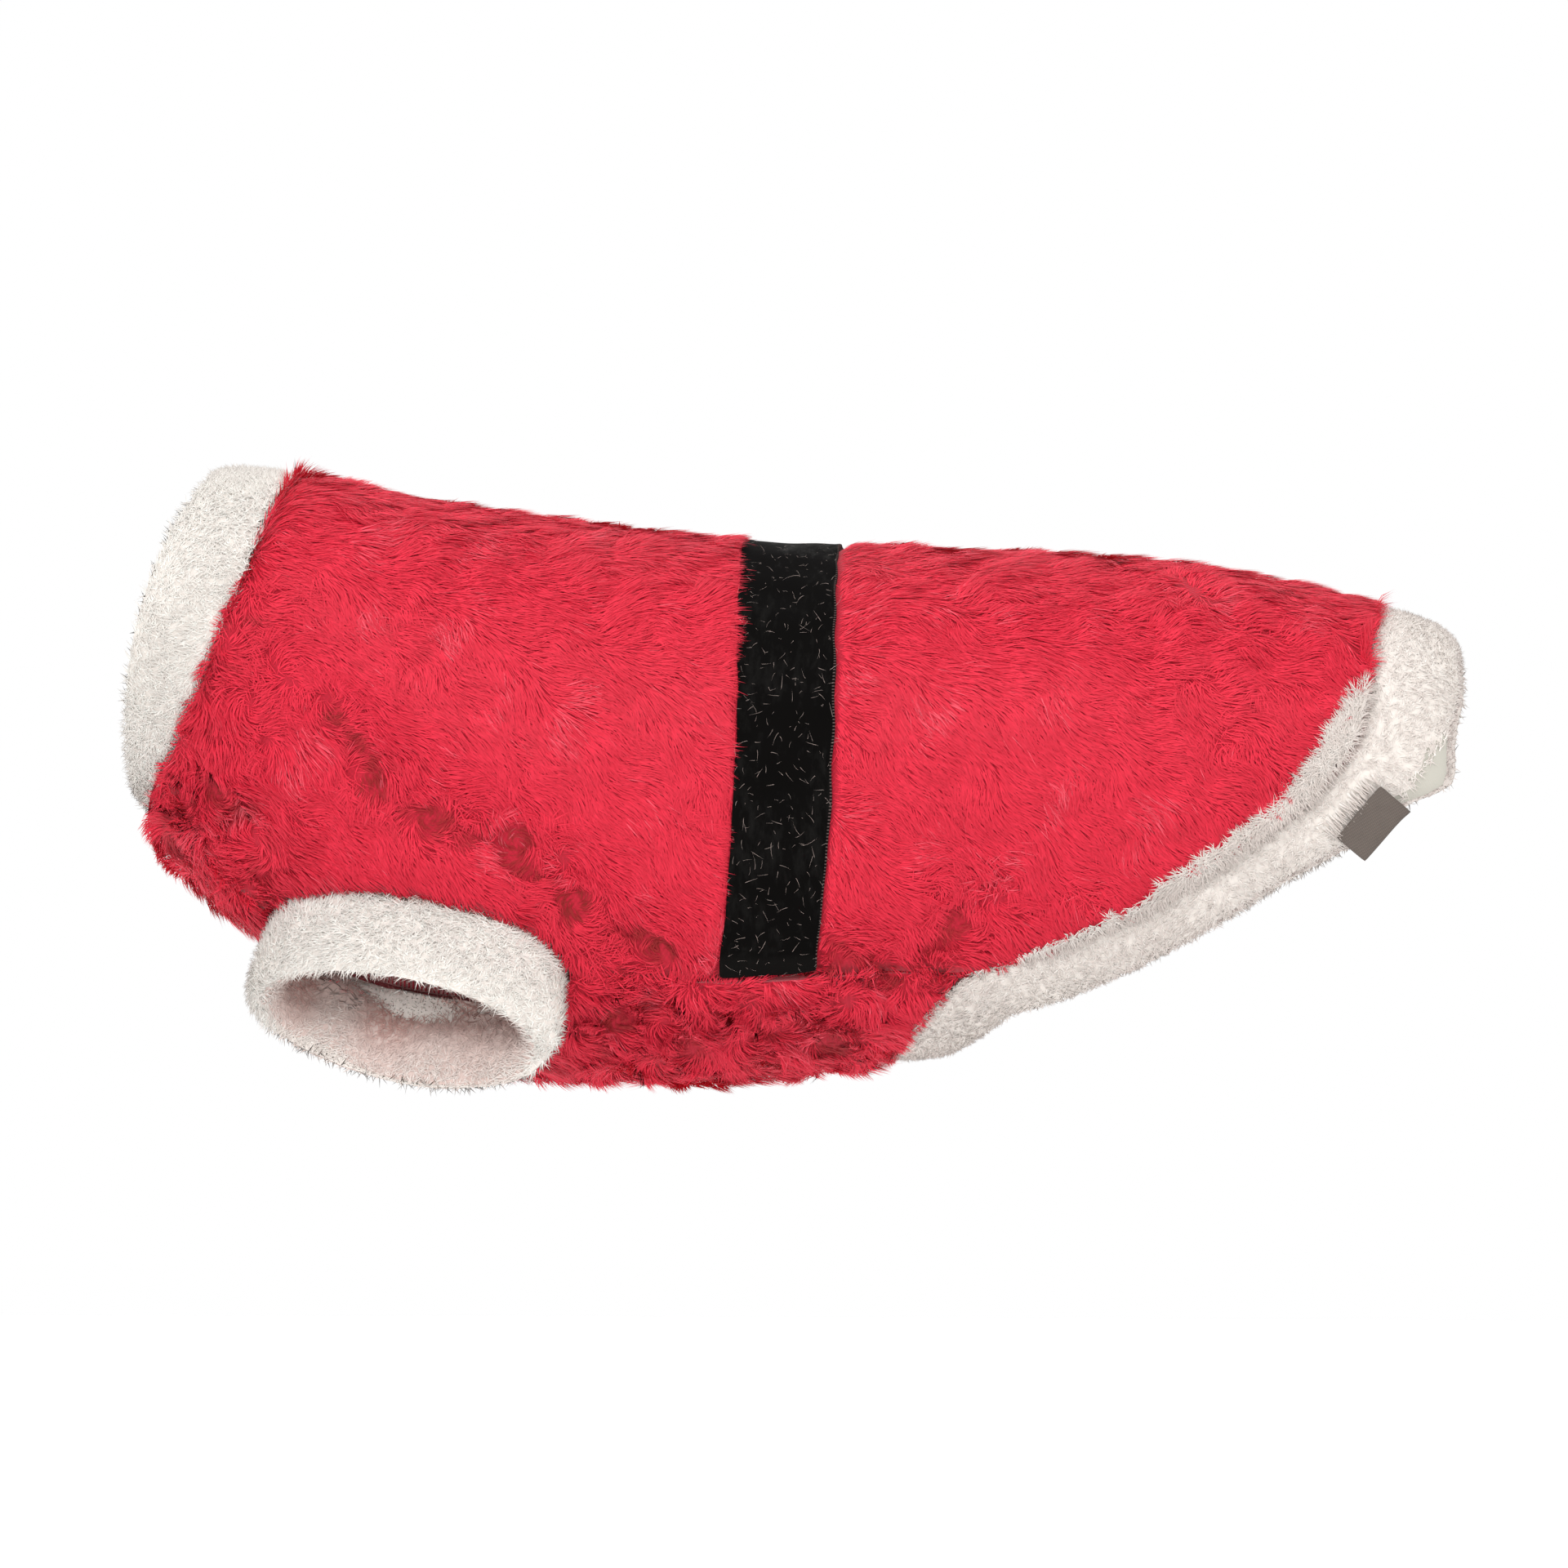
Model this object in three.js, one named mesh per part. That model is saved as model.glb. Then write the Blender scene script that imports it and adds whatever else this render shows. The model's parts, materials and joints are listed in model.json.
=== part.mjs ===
// A pullover coat for a small dog, in the style of a Santa suit, filled out as it is when worn.
// Red rosette plush makes the back and belly panels, white plush the collar, leg cuffs and hem trim,
// and a black velvet ribbon the belt. Units are millimetres.
// The dog would face -X, its back is up along +Z, and its left side is -Y.
// The origin lies on the inside of the back panel, at the top, under the middle of the belt.
import * as THREE from "three";

// Cloth sizes
const WALL = 7;            // backing cloth and pile of the red plush
const SEAM_GAP = 0.4;      // between two pieces that are sewn together
const CORNER_GAP = 0.6;    // the same, where the hem's seam turns corners
const PIT_DEPTH = 1.3;     // eye of a rosette, below the top of the pile
const CREST = 0.8;         // ridge between rosettes, above the top of the pile

// Belt
const BELT_WIDTH = 27.6;
const BELT_THICK = 1.5;
const PRESSED_PILE = 3.8;  // how far the belt presses the pile in
const CHANNEL_CLEAR = 0.6; // from the belt's edge to the foot of the pressed channel
const SHOULDER = 3.4;      // from the foot of the channel to the full pile
const BELT_REACH = 0.985;  // share of the panel's half width that the belt covers

// Leg holes, as an ellipse seen from the side
const LEG_HOLE = { x: -106, z: -112.5, halfLong: 45.5, halfShort: 15.5, tilt: THREE.MathUtils.degToRad(-11) };
const CUFF_LENGTH = 27;
const CUFF_OUT = 0.45;     // shares of the cuff's direction that point out to the side and ahead
const CUFF_AHEAD = 0.14;
const CUFF_FLARE = 0.06;
const CUFF_EVEN_TO = 24;   // beyond this far from its middle the wall grows fuller
const CUFF_FULLEST = 1.6;
// The profile of a cuff's wall, along it from 0, the seam, to 1, the fold. Its faces lie this
// far outside the line that leaves the seam in the cuff's direction.
const CUFF_PROFILE = [
  { along: 0.16, outside: 1, inside: -7.6 },
  { along: 0.42, outside: 2.2, inside: -7.8 },
  { along: 0.7, outside: 2.3, inside: -7.8 },
  { along: 0.9, outside: 1, inside: -6.6 },
];
const CUFF_FOLD = -2.8;

// Hem trim, with its width at places along the coat, and label
const TRIM_WIDTHS = [
  { x: 30, width: 24 },
  { x: 68, width: 25 },
  { x: 98, width: 21.5 },
  { x: 130, width: 19 },
  { x: 150, width: 20 },
  { x: 166, width: 25.5 },
  { x: 180, width: 31.5 },
];
const LABEL = { x: 152, along: 19, across: 11, thick: 0.8, overhang: 2.2 };

// Sections of the coat's outside from neck to tail, as seen from the side. Each one is a ring
// through a top and a bottom point of the middle line, with its half width, and with how far
// its sides stand back towards the tail. Behind the belly edge only the upper part is cloth.
const SECTIONS = [
  { name: "neck edge", topX: -168, topZ: 28.3, bottomX: -192, bottomZ: -64.8, halfWidth: 45, bow: -6 },
  { name: "collar seam", topX: -142.6, topZ: 26.7, bottomX: -184, bottomZ: -74.3, halfWidth: 47.5, bow: 3.5 },
  { name: "throat", topX: -128, topZ: 24.9, bottomX: -181, bottomZ: -86.3, halfWidth: 50, bow: 3.5 },
  { name: "breast", topX: -112, topZ: 20.3, bottomX: -161, bottomZ: -103.3, halfWidth: 53, bow: 4 },
  { name: "shoulder", topX: -92, topZ: 16.6, bottomX: -135, bottomZ: -124.3, halfWidth: 56, bow: 4.5 },
  { name: "legs", topX: -72, topZ: 14.1, bottomX: -110, bottomZ: -140.3, halfWidth: 58, bow: 5 },
  { name: "behind legs", topX: -50, topZ: 10.9, bottomX: -78, bottomZ: -148.3, halfWidth: 60, bow: 5.5 },
  { name: "chest", topX: -24, topZ: 8.7, bottomX: -43, bottomZ: -150.8, halfWidth: 61, bow: 6 },
  { name: "belt", topX: 2, topZ: 6.9, bottomX: -8, bottomZ: -149.3, halfWidth: 61, bow: 6.5 },
  { name: "belly", topX: 27, topZ: 5.7, bottomX: 26, bottomZ: -145.3, halfWidth: 60, bow: 6.5 },
  { name: "belly edge", topX: 51, topZ: 4.5, bottomX: 55, bottomZ: -141.3, halfWidth: 58, bow: 6 },
  { name: "flank", topX: 90, topZ: 2.5, bottomX: 88, bottomZ: -136.3, halfWidth: 56, bow: 6 },
  { name: "rump", topX: 130, topZ: -2.1, bottomX: 115, bottomZ: -128.3, halfWidth: 52, bow: 6.5 },
  { name: "tail seam", topX: 169, topZ: -12.3, bottomX: 137, bottomZ: -120.3, halfWidth: 45, bow: 8.5 },
  { name: "tail hem", topX: 200, topZ: -34.3, bottomX: 161, bottomZ: -124.3, halfWidth: 38, bow: 7.5 },
  { name: "past the tail", topX: 217, topZ: -60.3, bottomX: 181, bottomZ: -130.3, halfWidth: 31, bow: 6 },
];
const at = (name) => SECTIONS.findIndex((row) => row.name === name);
const EGG = 0.1;           // how much wider a section is above its middle

// Seam between the red plush and the hem trim, from the side seam up to the tail
const HEM_SEAM = [
  { x: 49, z: -120.3 },
  { x: 70, z: -112.8 },
  { x: 94, z: -102.8 },
  { x: 118, z: -89.3 },
  { x: 141, z: -71.3 },
  { x: 153.5, z: -56.3 },
];
// The side seam joins the back and belly panels. Its place on a section runs from 0, the top,
// to 1, the bottom.
const SIDE_SEAM_AT_COLLAR = 0.87;
const SIDE_SEAM_AT_BELT = 0.815;
const BELLY_EDGE_DIP = 0.75; // how many sections the belly's edge runs forward at its middle

// Facets
const COLUMNS = 32;        // across the back panel
const BELLY_COLUMNS = 10;
const LEG_ROWS = 12;

const COLOURS = { red: 0xd8232f, white: 0xe9e4dc, black: 0x0d0d0e, label: 0x5b4c45 };

const { lerp, smoothstep } = THREE.MathUtils;

// A value of the section table between its rows, on a smooth curve
function column(key, u) {
  const i = Math.min(Math.max(Math.floor(u), 0), SECTIONS.length - 2);
  const s = u - i;
  const value = (k) => SECTIONS[Math.min(Math.max(k, 0), SECTIONS.length - 1)][key];
  const [a, b, c, d] = [value(i - 1), value(i), value(i + 1), value(i + 2)];
  const slopeIn = i === 0 ? c - b : (c - a) / 2;
  const slopeOut = i === SECTIONS.length - 2 ? c - b : (d - b) / 2;
  const s2 = s * s;
  const s3 = s2 * s;
  return (2 * s3 - 3 * s2 + 1) * b + (s3 - 2 * s2 + s) * slopeIn
    + (3 * s2 - 2 * s3) * c + (s3 - s2) * slopeOut;
}

// A point of the coat's outside. u counts sections from the neck edge, and angle runs round
// from the top: the left side is positive, and the bottom is at half a turn.
function skin(u, angle) {
  const down = (1 - Math.cos(angle)) / 2;
  const side = Math.sin(angle);
  return new THREE.Vector3(
    lerp(column("topX", u), column("bottomX", u), down) + column("bow", u) * side * side,
    -column("halfWidth", u) * side * (1 + EGG * Math.cos(angle)),
    lerp(column("topZ", u), column("bottomZ", u), down),
  );
}

function slopes(u, angle) {
  const step = 1e-3;
  const alongU = skin(u + step, angle).sub(skin(u - step, angle)).divideScalar(2 * step);
  const round = skin(u, angle + step).sub(skin(u, angle - step)).divideScalar(2 * step);
  return { alongU, round };
}

function normal(u, angle) {
  const { alongU, round } = slopes(u, angle);
  return round.cross(alongU).normalize();
}

// A point below the outside by a depth, through the wall
function within(u, angle, depth) {
  return skin(u, angle).addScaledVector(normal(u, angle), -depth);
}

// Walks over the outside from a place, in a direction, and returns the place it comes to
function walk(place, direction, distance) {
  const paces = Math.max(1, Math.ceil(Math.abs(distance) / 4));
  let { u, angle } = place;
  for (let i = 0; i < paces; i += 1) {
    const { alongU, round } = slopes(u, angle);
    const out = normal(u, angle);
    const pace = direction.clone().addScaledVector(out, -direction.dot(out)).setLength(distance / paces);
    const uu = alongU.dot(alongU);
    const ua = alongU.dot(round);
    const aa = round.dot(round);
    const pu = pace.dot(alongU);
    const pa = pace.dot(round);
    const det = uu * aa - ua * ua;
    u += (pu * aa - pa * ua) / det;
    angle += (pa * uu - pu * ua) / det;
  }
  return { u, angle };
}

const angleAt = (share) => Math.acos(1 - 2 * share);

// The two places where a section crosses the leg hole's ellipse, as shares of the way down
function legHoleCrossing(u) {
  const { x, z, halfLong, halfShort, tilt } = LEG_HOLE;
  const [dx, dz] = [column("bottomX", u) - column("topX", u), column("bottomZ", u) - column("topZ", u)];
  const [ox, oz] = [column("topX", u) - x, column("topZ", u) - z];
  const turn = (px, pz) => [
    (px * Math.cos(tilt) + pz * Math.sin(tilt)) / halfLong,
    (pz * Math.cos(tilt) - px * Math.sin(tilt)) / halfShort,
  ];
  const [da, db] = turn(dx, dz);
  const [oa, ob] = turn(ox, oz);
  const a = da * da + db * db;
  const b = 2 * (da * oa + db * ob);
  const room = b * b - 4 * a * (oa * oa + ob * ob - 1);
  const half = Math.sqrt(Math.max(room, 0)) / (2 * a);
  return { room, upper: -b / (2 * a) - half, lower: -b / (2 * a) + half };
}

// Finds where a function changes sign between two values
function crossing(f, low, high) {
  const sign = Math.sign(f(low));
  let [a, b] = [low, high];
  for (let i = 0; i < 60; i += 1) {
    const middle = (a + b) / 2;
    if (Math.sign(f(middle)) === sign) a = middle;
    else b = middle;
  }
  return (a + b) / 2;
}

const legsMiddle = at("legs");
const legFront = crossing((u) => legHoleCrossing(u).room, at("throat"), legsMiddle);
const legBack = crossing((u) => legHoleCrossing(u).room, at("chest") + 0.5, legsMiddle);

// A value of a table with an x column, on straight lines between its rows
function readTable(table, key, x) {
  const i = table.findIndex((row, k) => k === table.length - 2 || x < table[k + 1].x);
  const [a, b] = [table[i], table[i + 1]];
  return lerp(a[key], b[key], (x - a.x) / (b.x - a.x));
}

// How far down its section the hem seam crosses section u
function hemSeamAt(u) {
  const above = (share) => {
    const x = lerp(column("topX", u), column("bottomX", u), share);
    return lerp(column("topZ", u), column("bottomZ", u), share) - readTable(HEM_SEAM, "z", x);
  };
  return crossing(above, 0.2, 1);
}
const bellyCorner = crossing((u) => {
  const share = hemSeamAt(u);
  return lerp(column("topX", u), column("bottomX", u), share) - HEM_SEAM[0].x;
}, at("belly"), at("flank"));

// How far down its section the side seam crosses section u, away from the leg hole
function sideSeamAt(u) {
  if (u <= legFront) {
    const s = (u - at("collar seam")) / (legFront - at("collar seam"));
    return lerp(SIDE_SEAM_AT_COLLAR, legHoleCrossing(legFront).upper, s);
  }
  const [start, end] = [legHoleCrossing(legBack).upper, hemSeamAt(bellyCorner)];
  const belt = at("belt");
  return u < belt
    ? lerp(start, SIDE_SEAM_AT_BELT, smoothstep(u, legBack, belt))
    : lerp(SIDE_SEAM_AT_BELT, end, smoothstep(u, belt, bellyCorner));
}

// Rows of facets from the collar seam to the tail seam, as section counts
const sectionLength = skin(at("belt") + 0.5, 0).distanceTo(skin(at("belt") - 0.5, 0));
const beltFoot = (BELT_WIDTH / 2 + CHANNEL_CLEAR) / sectionLength;
const beltShoulder = beltFoot + SHOULDER / sectionLength;
const rows = [];
function addRows(from, to, count, ease = (s) => s) {
  for (let i = rows.length ? 1 : 0; i <= count; i += 1) rows.push(lerp(from, to, ease(i / count)));
  return rows.length - 1;
}
const denserEnds = (s) => lerp(s, (1 - Math.cos(Math.PI * s)) / 2, 0.75);
const ROW = {};
ROW.legFront = addRows(at("collar seam"), legFront, 4);
ROW.legBack = addRows(legFront, legBack, LEG_ROWS, denserEnds);
ROW.shoulderFront = addRows(legBack, at("belt") - beltShoulder, 3);
ROW.beltFront = addRows(at("belt") - beltShoulder, at("belt") - beltFoot, 1);
ROW.beltBack = addRows(at("belt") - beltFoot, at("belt") + beltFoot, 4);
ROW.shoulderBack = addRows(at("belt") + beltFoot, at("belt") + beltShoulder, 1);
ROW.bellyCorner = addRows(at("belt") + beltShoulder, bellyCorner, 3);
ROW.tail = addRows(bellyCorner, at("tail seam"), 16);

const halfGap = SEAM_GAP / 2;
const shiftRound = (u, angle, distance) => angle + distance / slopes(u, angle).round.length();
const shiftAlong = (u, angle, distance) => u + distance / slopes(u, angle).alongU.length();

// Rows under and beside the belt stay as far from its middle all the way round
const belowBelt = (angle) => sectionLength / slopes(at("belt"), angle).alongU.length();
function settled(u, angle) {
  const fromBelt = u - at("belt");
  return Math.abs(fromBelt) < beltShoulder + 1e-6 ? at("belt") + fromBelt * belowBelt(angle) : u;
}

// The lower edge of the back panel and the upper edge of the belly panel, row by row
function panelEdges(row) {
  if (row > ROW.legFront && row < ROW.legBack) {
    const { upper, lower } = legHoleCrossing(rows[row]);
    return { u: rows[row], back: angleAt(upper), belly: angleAt(lower) };
  }
  if (row > ROW.bellyCorner) return { back: angleAt(hemSeamAt(rows[row])) };
  const u = settled(rows[row], angleAt(sideSeamAt(rows[row])));
  const seam = angleAt(sideSeamAt(u));
  return { u, back: shiftRound(u, seam, -halfGap), belly: shiftRound(u, seam, halfGap) };
}

// Rosettes: an eye on every second row and column, and a crest between the eyes
function rosette(row, columnIndex, lastRow, lastColumn) {
  const inBelt = row >= ROW.shoulderFront && row <= ROW.shoulderBack;
  const byLegTip = Math.abs(row - ROW.legFront) < 2 || Math.abs(row - ROW.legBack) < 2;
  const atEdge = row === 0 || columnIndex === 0 || row === lastRow || columnIndex === lastColumn;
  if (atEdge || inBelt || byLegTip) return 0;
  const oddRow = row % 2;
  const oddColumn = columnIndex % 2;
  if (!oddRow && !oddColumn) return PIT_DEPTH;
  return oddRow && oddColumn ? -CREST : 0;
}

function backPanelPlaces() {
  return rows.map((u, row) => {
    const edge = panelEdges(row).back;
    return Array.from({ length: COLUMNS + 1 }, (_, j) => {
      const angle = edge * (1 - (2 * j) / COLUMNS);
      return { u: row === 0 ? shiftAlong(u, angle, halfGap) : settled(u, angle), angle };
    });
  });
}

// The belly panel's rows run forward at their middle, more so towards its back edge
function bellyPanelPlaces() {
  return rows.slice(0, ROW.bellyCorner + 1).map((_, row) => {
    const { u, belly: edge } = panelEdges(row);
    const dip = BELLY_EDGE_DIP * Math.max(0, (u - legBack) / (bellyCorner - legBack));
    return Array.from({ length: BELLY_COLUMNS + 1 }, (__, j) => {
      const across = 1 - (2 * j) / BELLY_COLUMNS;
      const angle = Math.PI - across * (Math.PI - edge);
      return { u: row === 0 ? shiftAlong(u, angle, halfGap) : u - dip * (1 - across * across), angle };
    });
  });
}

// A closed mesh from corner points and faces of three or four corners, turned to face out
function solid(points, faces) {
  const positions = points.flatMap((p) => [p.x, p.y, p.z]);
  const triangles = faces.flatMap((f) => (f.length === 4 ? [[f[0], f[1], f[2]], [f[0], f[2], f[3]]] : [f]));
  const volume = triangles.reduce((sum, [a, b, c]) => (
    sum + points[a].dot(new THREE.Vector3().crossVectors(points[b], points[c]))
  ), 0);
  const index = triangles.flatMap(([a, b, c]) => (volume > 0 ? [a, b, c] : [a, c, b]));
  const geometry = new THREE.BufferGeometry();
  geometry.setAttribute("position", new THREE.Float32BufferAttribute(positions, 3));
  geometry.setIndex(index);
  geometry.computeVertexNormals();
  return geometry;
}

// A wall between two grids of points with the same rows and columns, closed at its four edges
function wall(outer, inner) {
  const [high, wide] = [outer.length, outer[0].length];
  const points = [...outer.flat(), ...inner.flat()];
  const out = (i, j) => i * wide + j;
  const under = (i, j) => high * wide + out(i, j);
  const faces = [];
  for (let i = 0; i < high - 1; i += 1) {
    for (let j = 0; j < wide - 1; j += 1) {
      faces.push([out(i, j), out(i, j + 1), out(i + 1, j + 1), out(i + 1, j)]);
      faces.push([under(i, j), under(i + 1, j), under(i + 1, j + 1), under(i, j + 1)]);
    }
    faces.push([out(i, 0), out(i + 1, 0), under(i + 1, 0), under(i, 0)]);
    faces.push([out(i + 1, wide - 1), out(i, wide - 1), under(i, wide - 1), under(i + 1, wide - 1)]);
  }
  for (let j = 0; j < wide - 1; j += 1) {
    faces.push([out(0, j + 1), out(0, j), under(0, j), under(0, j + 1)]);
    faces.push([out(high - 1, j), out(high - 1, j + 1), under(high - 1, j + 1), under(high - 1, j)]);
  }
  return solid(points, faces);
}

// A band that closes on itself: one outline of points for each place along it
function loopBand(outlines) {
  const corners = outlines[0].length;
  const faces = outlines.flatMap((_, i) => {
    const next = (i + 1) % outlines.length;
    return Array.from({ length: corners }, (__, j) => {
      const after = (j + 1) % corners;
      return [i * corners + j, next * corners + j, next * corners + after, i * corners + after];
    });
  });
  return solid(outlines.flat(), faces);
}

function plushWall(places, depthAt) {
  const outer = places.map((row, i) => row.map((p, j) => within(p.u, p.angle, depthAt(i, j))));
  const inner = places.map((row) => row.map((p) => within(p.u, p.angle, WALL)));
  return wall(outer, inner);
}

function backPanel() {
  const places = backPanelPlaces();
  return plushWall(places, (i, j) => {
    const pressed = i >= ROW.beltFront && i <= ROW.beltBack ? PRESSED_PILE : 0;
    return pressed + rosette(i, j, places.length - 1, COLUMNS);
  });
}

function bellyPanel() {
  const places = bellyPanelPlaces();
  return plushWall(places, (i, j) => rosette(i, j, places.length - 1, BELLY_COLUMNS));
}

// The profile of a band of doubled white plush: along its width from 0, the seam, to 1, the
// fold, with the depths of its outside and inside below the coat's outside
const BAND_BULGE = 1;
const BAND_PROFILE = [
  { along: 0, outside: 0, inside: WALL },
  { along: 0.2, outside: -0.7 * BAND_BULGE, inside: WALL },
  { along: 0.45, outside: -BAND_BULGE, inside: WALL + 0.3 },
  { along: 0.7, outside: -BAND_BULGE, inside: WALL + 0.3 },
  { along: 0.88, outside: 0.2, inside: WALL - 0.4 },
  { along: 0.97, outside: 1.9, inside: WALL - 2 },
];
const FOLD_DEPTH = 3.4;

// A band's outline at one place of its seam, walking over the coat's outside. It leaves the
// seam straight across, and runs on in its own direction.
function bandOutline(place, offSeam, direction, width) {
  const root = walk(place, offSeam, CORNER_GAP);
  const stopAt = (along) => walk(root, direction, Math.max(along * width, 1e-6));
  const stops = BAND_PROFILE.map((row) => ({ ...row, ...stopAt(row.along) }));
  const fold = walk(root, direction, width);
  return [
    ...stops.map((s) => within(s.u, s.angle, s.outside)),
    within(fold.u, fold.angle, FOLD_DEPTH),
    ...stops.reverse().map((s) => within(s.u, s.angle, s.inside)),
  ];
}

// The direction across a seam at each of its places: along the cloth, away from the red plush.
// The places run clockwise round the opening as seen from outside it when turn is 1.
function acrossSeam(places, turn) {
  const points = places.map((p) => skin(p.u, p.angle));
  return places.map((p, i) => {
    const before = points[(i + points.length - 1) % points.length];
    const after = points[(i + 1) % points.length];
    const run = after.clone().sub(before).normalize();
    return run.cross(normal(p.u, p.angle)).normalize().multiplyScalar(turn);
  });
}

function collar() {
  const back = backPanelPlaces()[0];
  const belly = bellyPanelPlaces()[0];
  const ring = [...back, ...belly.slice(1, -1).reverse()];
  const seam = at("collar seam");
  const outlines = ring.map(({ angle }) => {
    const root = shiftAlong(seam, angle, -halfGap);
    const stop = (share) => lerp(root, at("neck edge"), share);
    return [
      ...BAND_PROFILE.map((row) => within(stop(row.along), angle, row.outside)),
      within(stop(1), angle, FOLD_DEPTH),
      ...BAND_PROFILE.map((row) => within(stop(row.along), angle, row.inside)).reverse(),
    ];
  });
  return loopBand(outlines);
}

// The hem's seam from the middle of the belly up the left side to the tail, and back down
function hemSeamPlaces() {
  const backPlaces = backPanelPlaces();
  const belly = bellyPanelPlaces().at(-1);
  const tail = backPlaces.at(-1);
  const half = COLUMNS / 2;
  const bellyLeft = belly.slice(0, BELLY_COLUMNS / 2 + 1).reverse();
  const sideLeft = backPlaces.slice(ROW.bellyCorner + 1, -1).map((row) => row[0]);
  const tailLeft = tail.slice(0, half + 1);
  const left = [...bellyLeft, ...sideLeft, ...tailLeft];
  const right = left.slice(1, -1).reverse().map(({ u, angle }) => ({ u, angle: -angle }));
  return [...left, ...right];
}

function trimWidth(place) {
  const { x } = skin(place.u, place.angle);
  const [low, high] = [TRIM_WIDTHS[0].x, TRIM_WIDTHS.at(-1).x];
  return readTable(TRIM_WIDTHS, "width", Math.min(Math.max(x, low), high));
}

// Directions averaged with their neighbours, so that a band turns a corner in even steps
function evened(directions, passes) {
  if (!passes) return directions;
  const count = directions.length;
  const next = directions.map((d, i) => d.clone()
    .add(directions[(i + 1) % count]).add(directions[(i + count - 1) % count]).normalize());
  return evened(next, passes - 1);
}

function hemTrim() {
  const places = hemSeamPlaces();
  const offSeam = acrossSeam(places, 1);
  const across = evened(offSeam, 3);
  return loopBand(places.map((p, i) => bandOutline(p, offSeam[i], across[i], trimWidth(p))));
}

// The places round a leg hole's edge on the left: the back panel's, front to back, and then
// the belly panel's, back to front
function legHolePlaces() {
  const backPlaces = backPanelPlaces();
  const bellyPlaces = bellyPanelPlaces();
  const lateral = [];
  const medial = [];
  for (let row = ROW.legFront; row <= ROW.legBack; row += 1) {
    const upper = backPlaces[row][0];
    const lower = bellyPlaces[row][0];
    const isTip = row === ROW.legFront || row === ROW.legBack;
    lateral.push(isTip ? { u: upper.u, angle: (upper.angle + lower.angle) / 2 } : upper);
    if (!isTip) medial.push(lower);
  }
  return [...lateral, ...medial.reverse()];
}

// A leg cuff: a short tube from the leg hole's edge, out to the side and down. side is 1 on
// the dog's left and -1 on its right.
function legCuff(side) {
  const places = legHolePlaces().map(({ u, angle }) => ({ u, angle: angle * side }));
  const edge = places.map((p) => skin(p.u, p.angle));
  const into = acrossSeam(places, side);
  const below = Math.sqrt(1 - CUFF_OUT ** 2 - CUFF_AHEAD ** 2);
  const down = new THREE.Vector3(-CUFF_AHEAD, -CUFF_OUT * side, -below);
  const middle = edge.reduce((sum, p) => sum.add(p), new THREE.Vector3()).divideScalar(edge.length);
  const outlines = places.map((p, i) => {
    const start = edge[i].clone().addScaledVector(into[i], SEAM_GAP);
    const end = within(p.u, p.angle, WALL).addScaledVector(into[i], SEAM_GAP);
    const out = start.clone().sub(middle);
    out.addScaledVector(down, -out.dot(down));
    const fuller = Math.min(out.length() / CUFF_EVEN_TO, CUFF_FULLEST);
    out.normalize();
    const heading = down.clone().addScaledVector(out, CUFF_FLARE).normalize();
    const spot = (along, offset) => start.clone().addScaledVector(heading, along * CUFF_LENGTH)
      .addScaledVector(out, offset);
    return [
      start,
      ...CUFF_PROFILE.map((row) => spot(row.along, row.outside)),
      spot(1, CUFF_FOLD * fuller),
      ...CUFF_PROFILE.map((row) => spot(row.along, row.inside * fuller)).reverse(),
      end,
    ];
  });
  return loopBand(outlines);
}

// The belt is made from the back panel's points, moved out
function belt() {
  const half = BELT_WIDTH / 2 / sectionLength;
  const under = PRESSED_PILE - SEAM_GAP;
  const edge = angleAt(sideSeamAt(at("belt"))) * BELT_REACH;
  const places = [-1, 0, 1].map((s) => Array.from({ length: COLUMNS + 1 }, (_, j) => {
    const angle = edge * (1 - (2 * j) / COLUMNS);
    return { u: settled(at("belt") + s * half, angle), angle };
  }));
  return wall(
    places.map((row) => row.map((p) => within(p.u, p.angle, under - BELT_THICK))),
    places.map((row) => row.map((p) => within(p.u, p.angle, under))),
  );
}

// A bare woven label, sewn flat on the trim at the left of the tail, across its fold
function label() {
  const places = hemSeamPlaces();
  const across = evened(acrossSeam(places, 1), 3);
  const half = places.length / 2;
  const fromLabel = (k) => Math.abs(skin(places[k].u, places[k].angle).x - LABEL.x);
  const onLeft = (k) => k > BELLY_COLUMNS && k < half;
  const nearest = (best, _, k) => (onLeft(k) && fromLabel(k) < fromLabel(best) ? k : best);
  const i = places.reduce(nearest, BELLY_COLUMNS);
  const { u, angle } = places[i];
  const run = across[i].clone().cross(normal(u, angle)).normalize();
  const low = trimWidth(places[i]) + LABEL.overhang;
  const spots = [-0.5, -0.25, 0, 0.25, 0.5].map((a) => [1, 0.5, 0].map((b) => (
    walk(walk(places[i], across[i], low - b * LABEL.across), run, a * LABEL.along || 1e-6)
  )));
  const under = -BAND_BULGE - SEAM_GAP;
  return wall(
    spots.map((row) => row.map((p) => within(p.u, p.angle, under - LABEL.thick))),
    spots.map((row) => row.map((p) => within(p.u, p.angle, under))),
  );
}

function piece(name, geometry, colour, roughness) {
  const material = new THREE.MeshStandardMaterial({ color: colour, roughness, metalness: 0 });
  const mesh = new THREE.Mesh(geometry, material);
  mesh.name = name;
  return mesh;
}

const coat = new THREE.Group();
coat.name = "dog_santa_coat";
coat.add(
  piece("back_panel", backPanel(), COLOURS.red, 0.75),
  piece("belly_panel", bellyPanel(), COLOURS.red, 0.75),
  piece("collar", collar(), COLOURS.white, 0.95),
  piece("leg_cuff_left", legCuff(1), COLOURS.white, 0.95),
  piece("leg_cuff_right", legCuff(-1), COLOURS.white, 0.95),
  piece("hem_trim", hemTrim(), COLOURS.white, 0.95),
  piece("belt", belt(), COLOURS.black, 0.8),
  piece("label", label(), COLOURS.label, 0.7),
);

export default coat;
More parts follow.
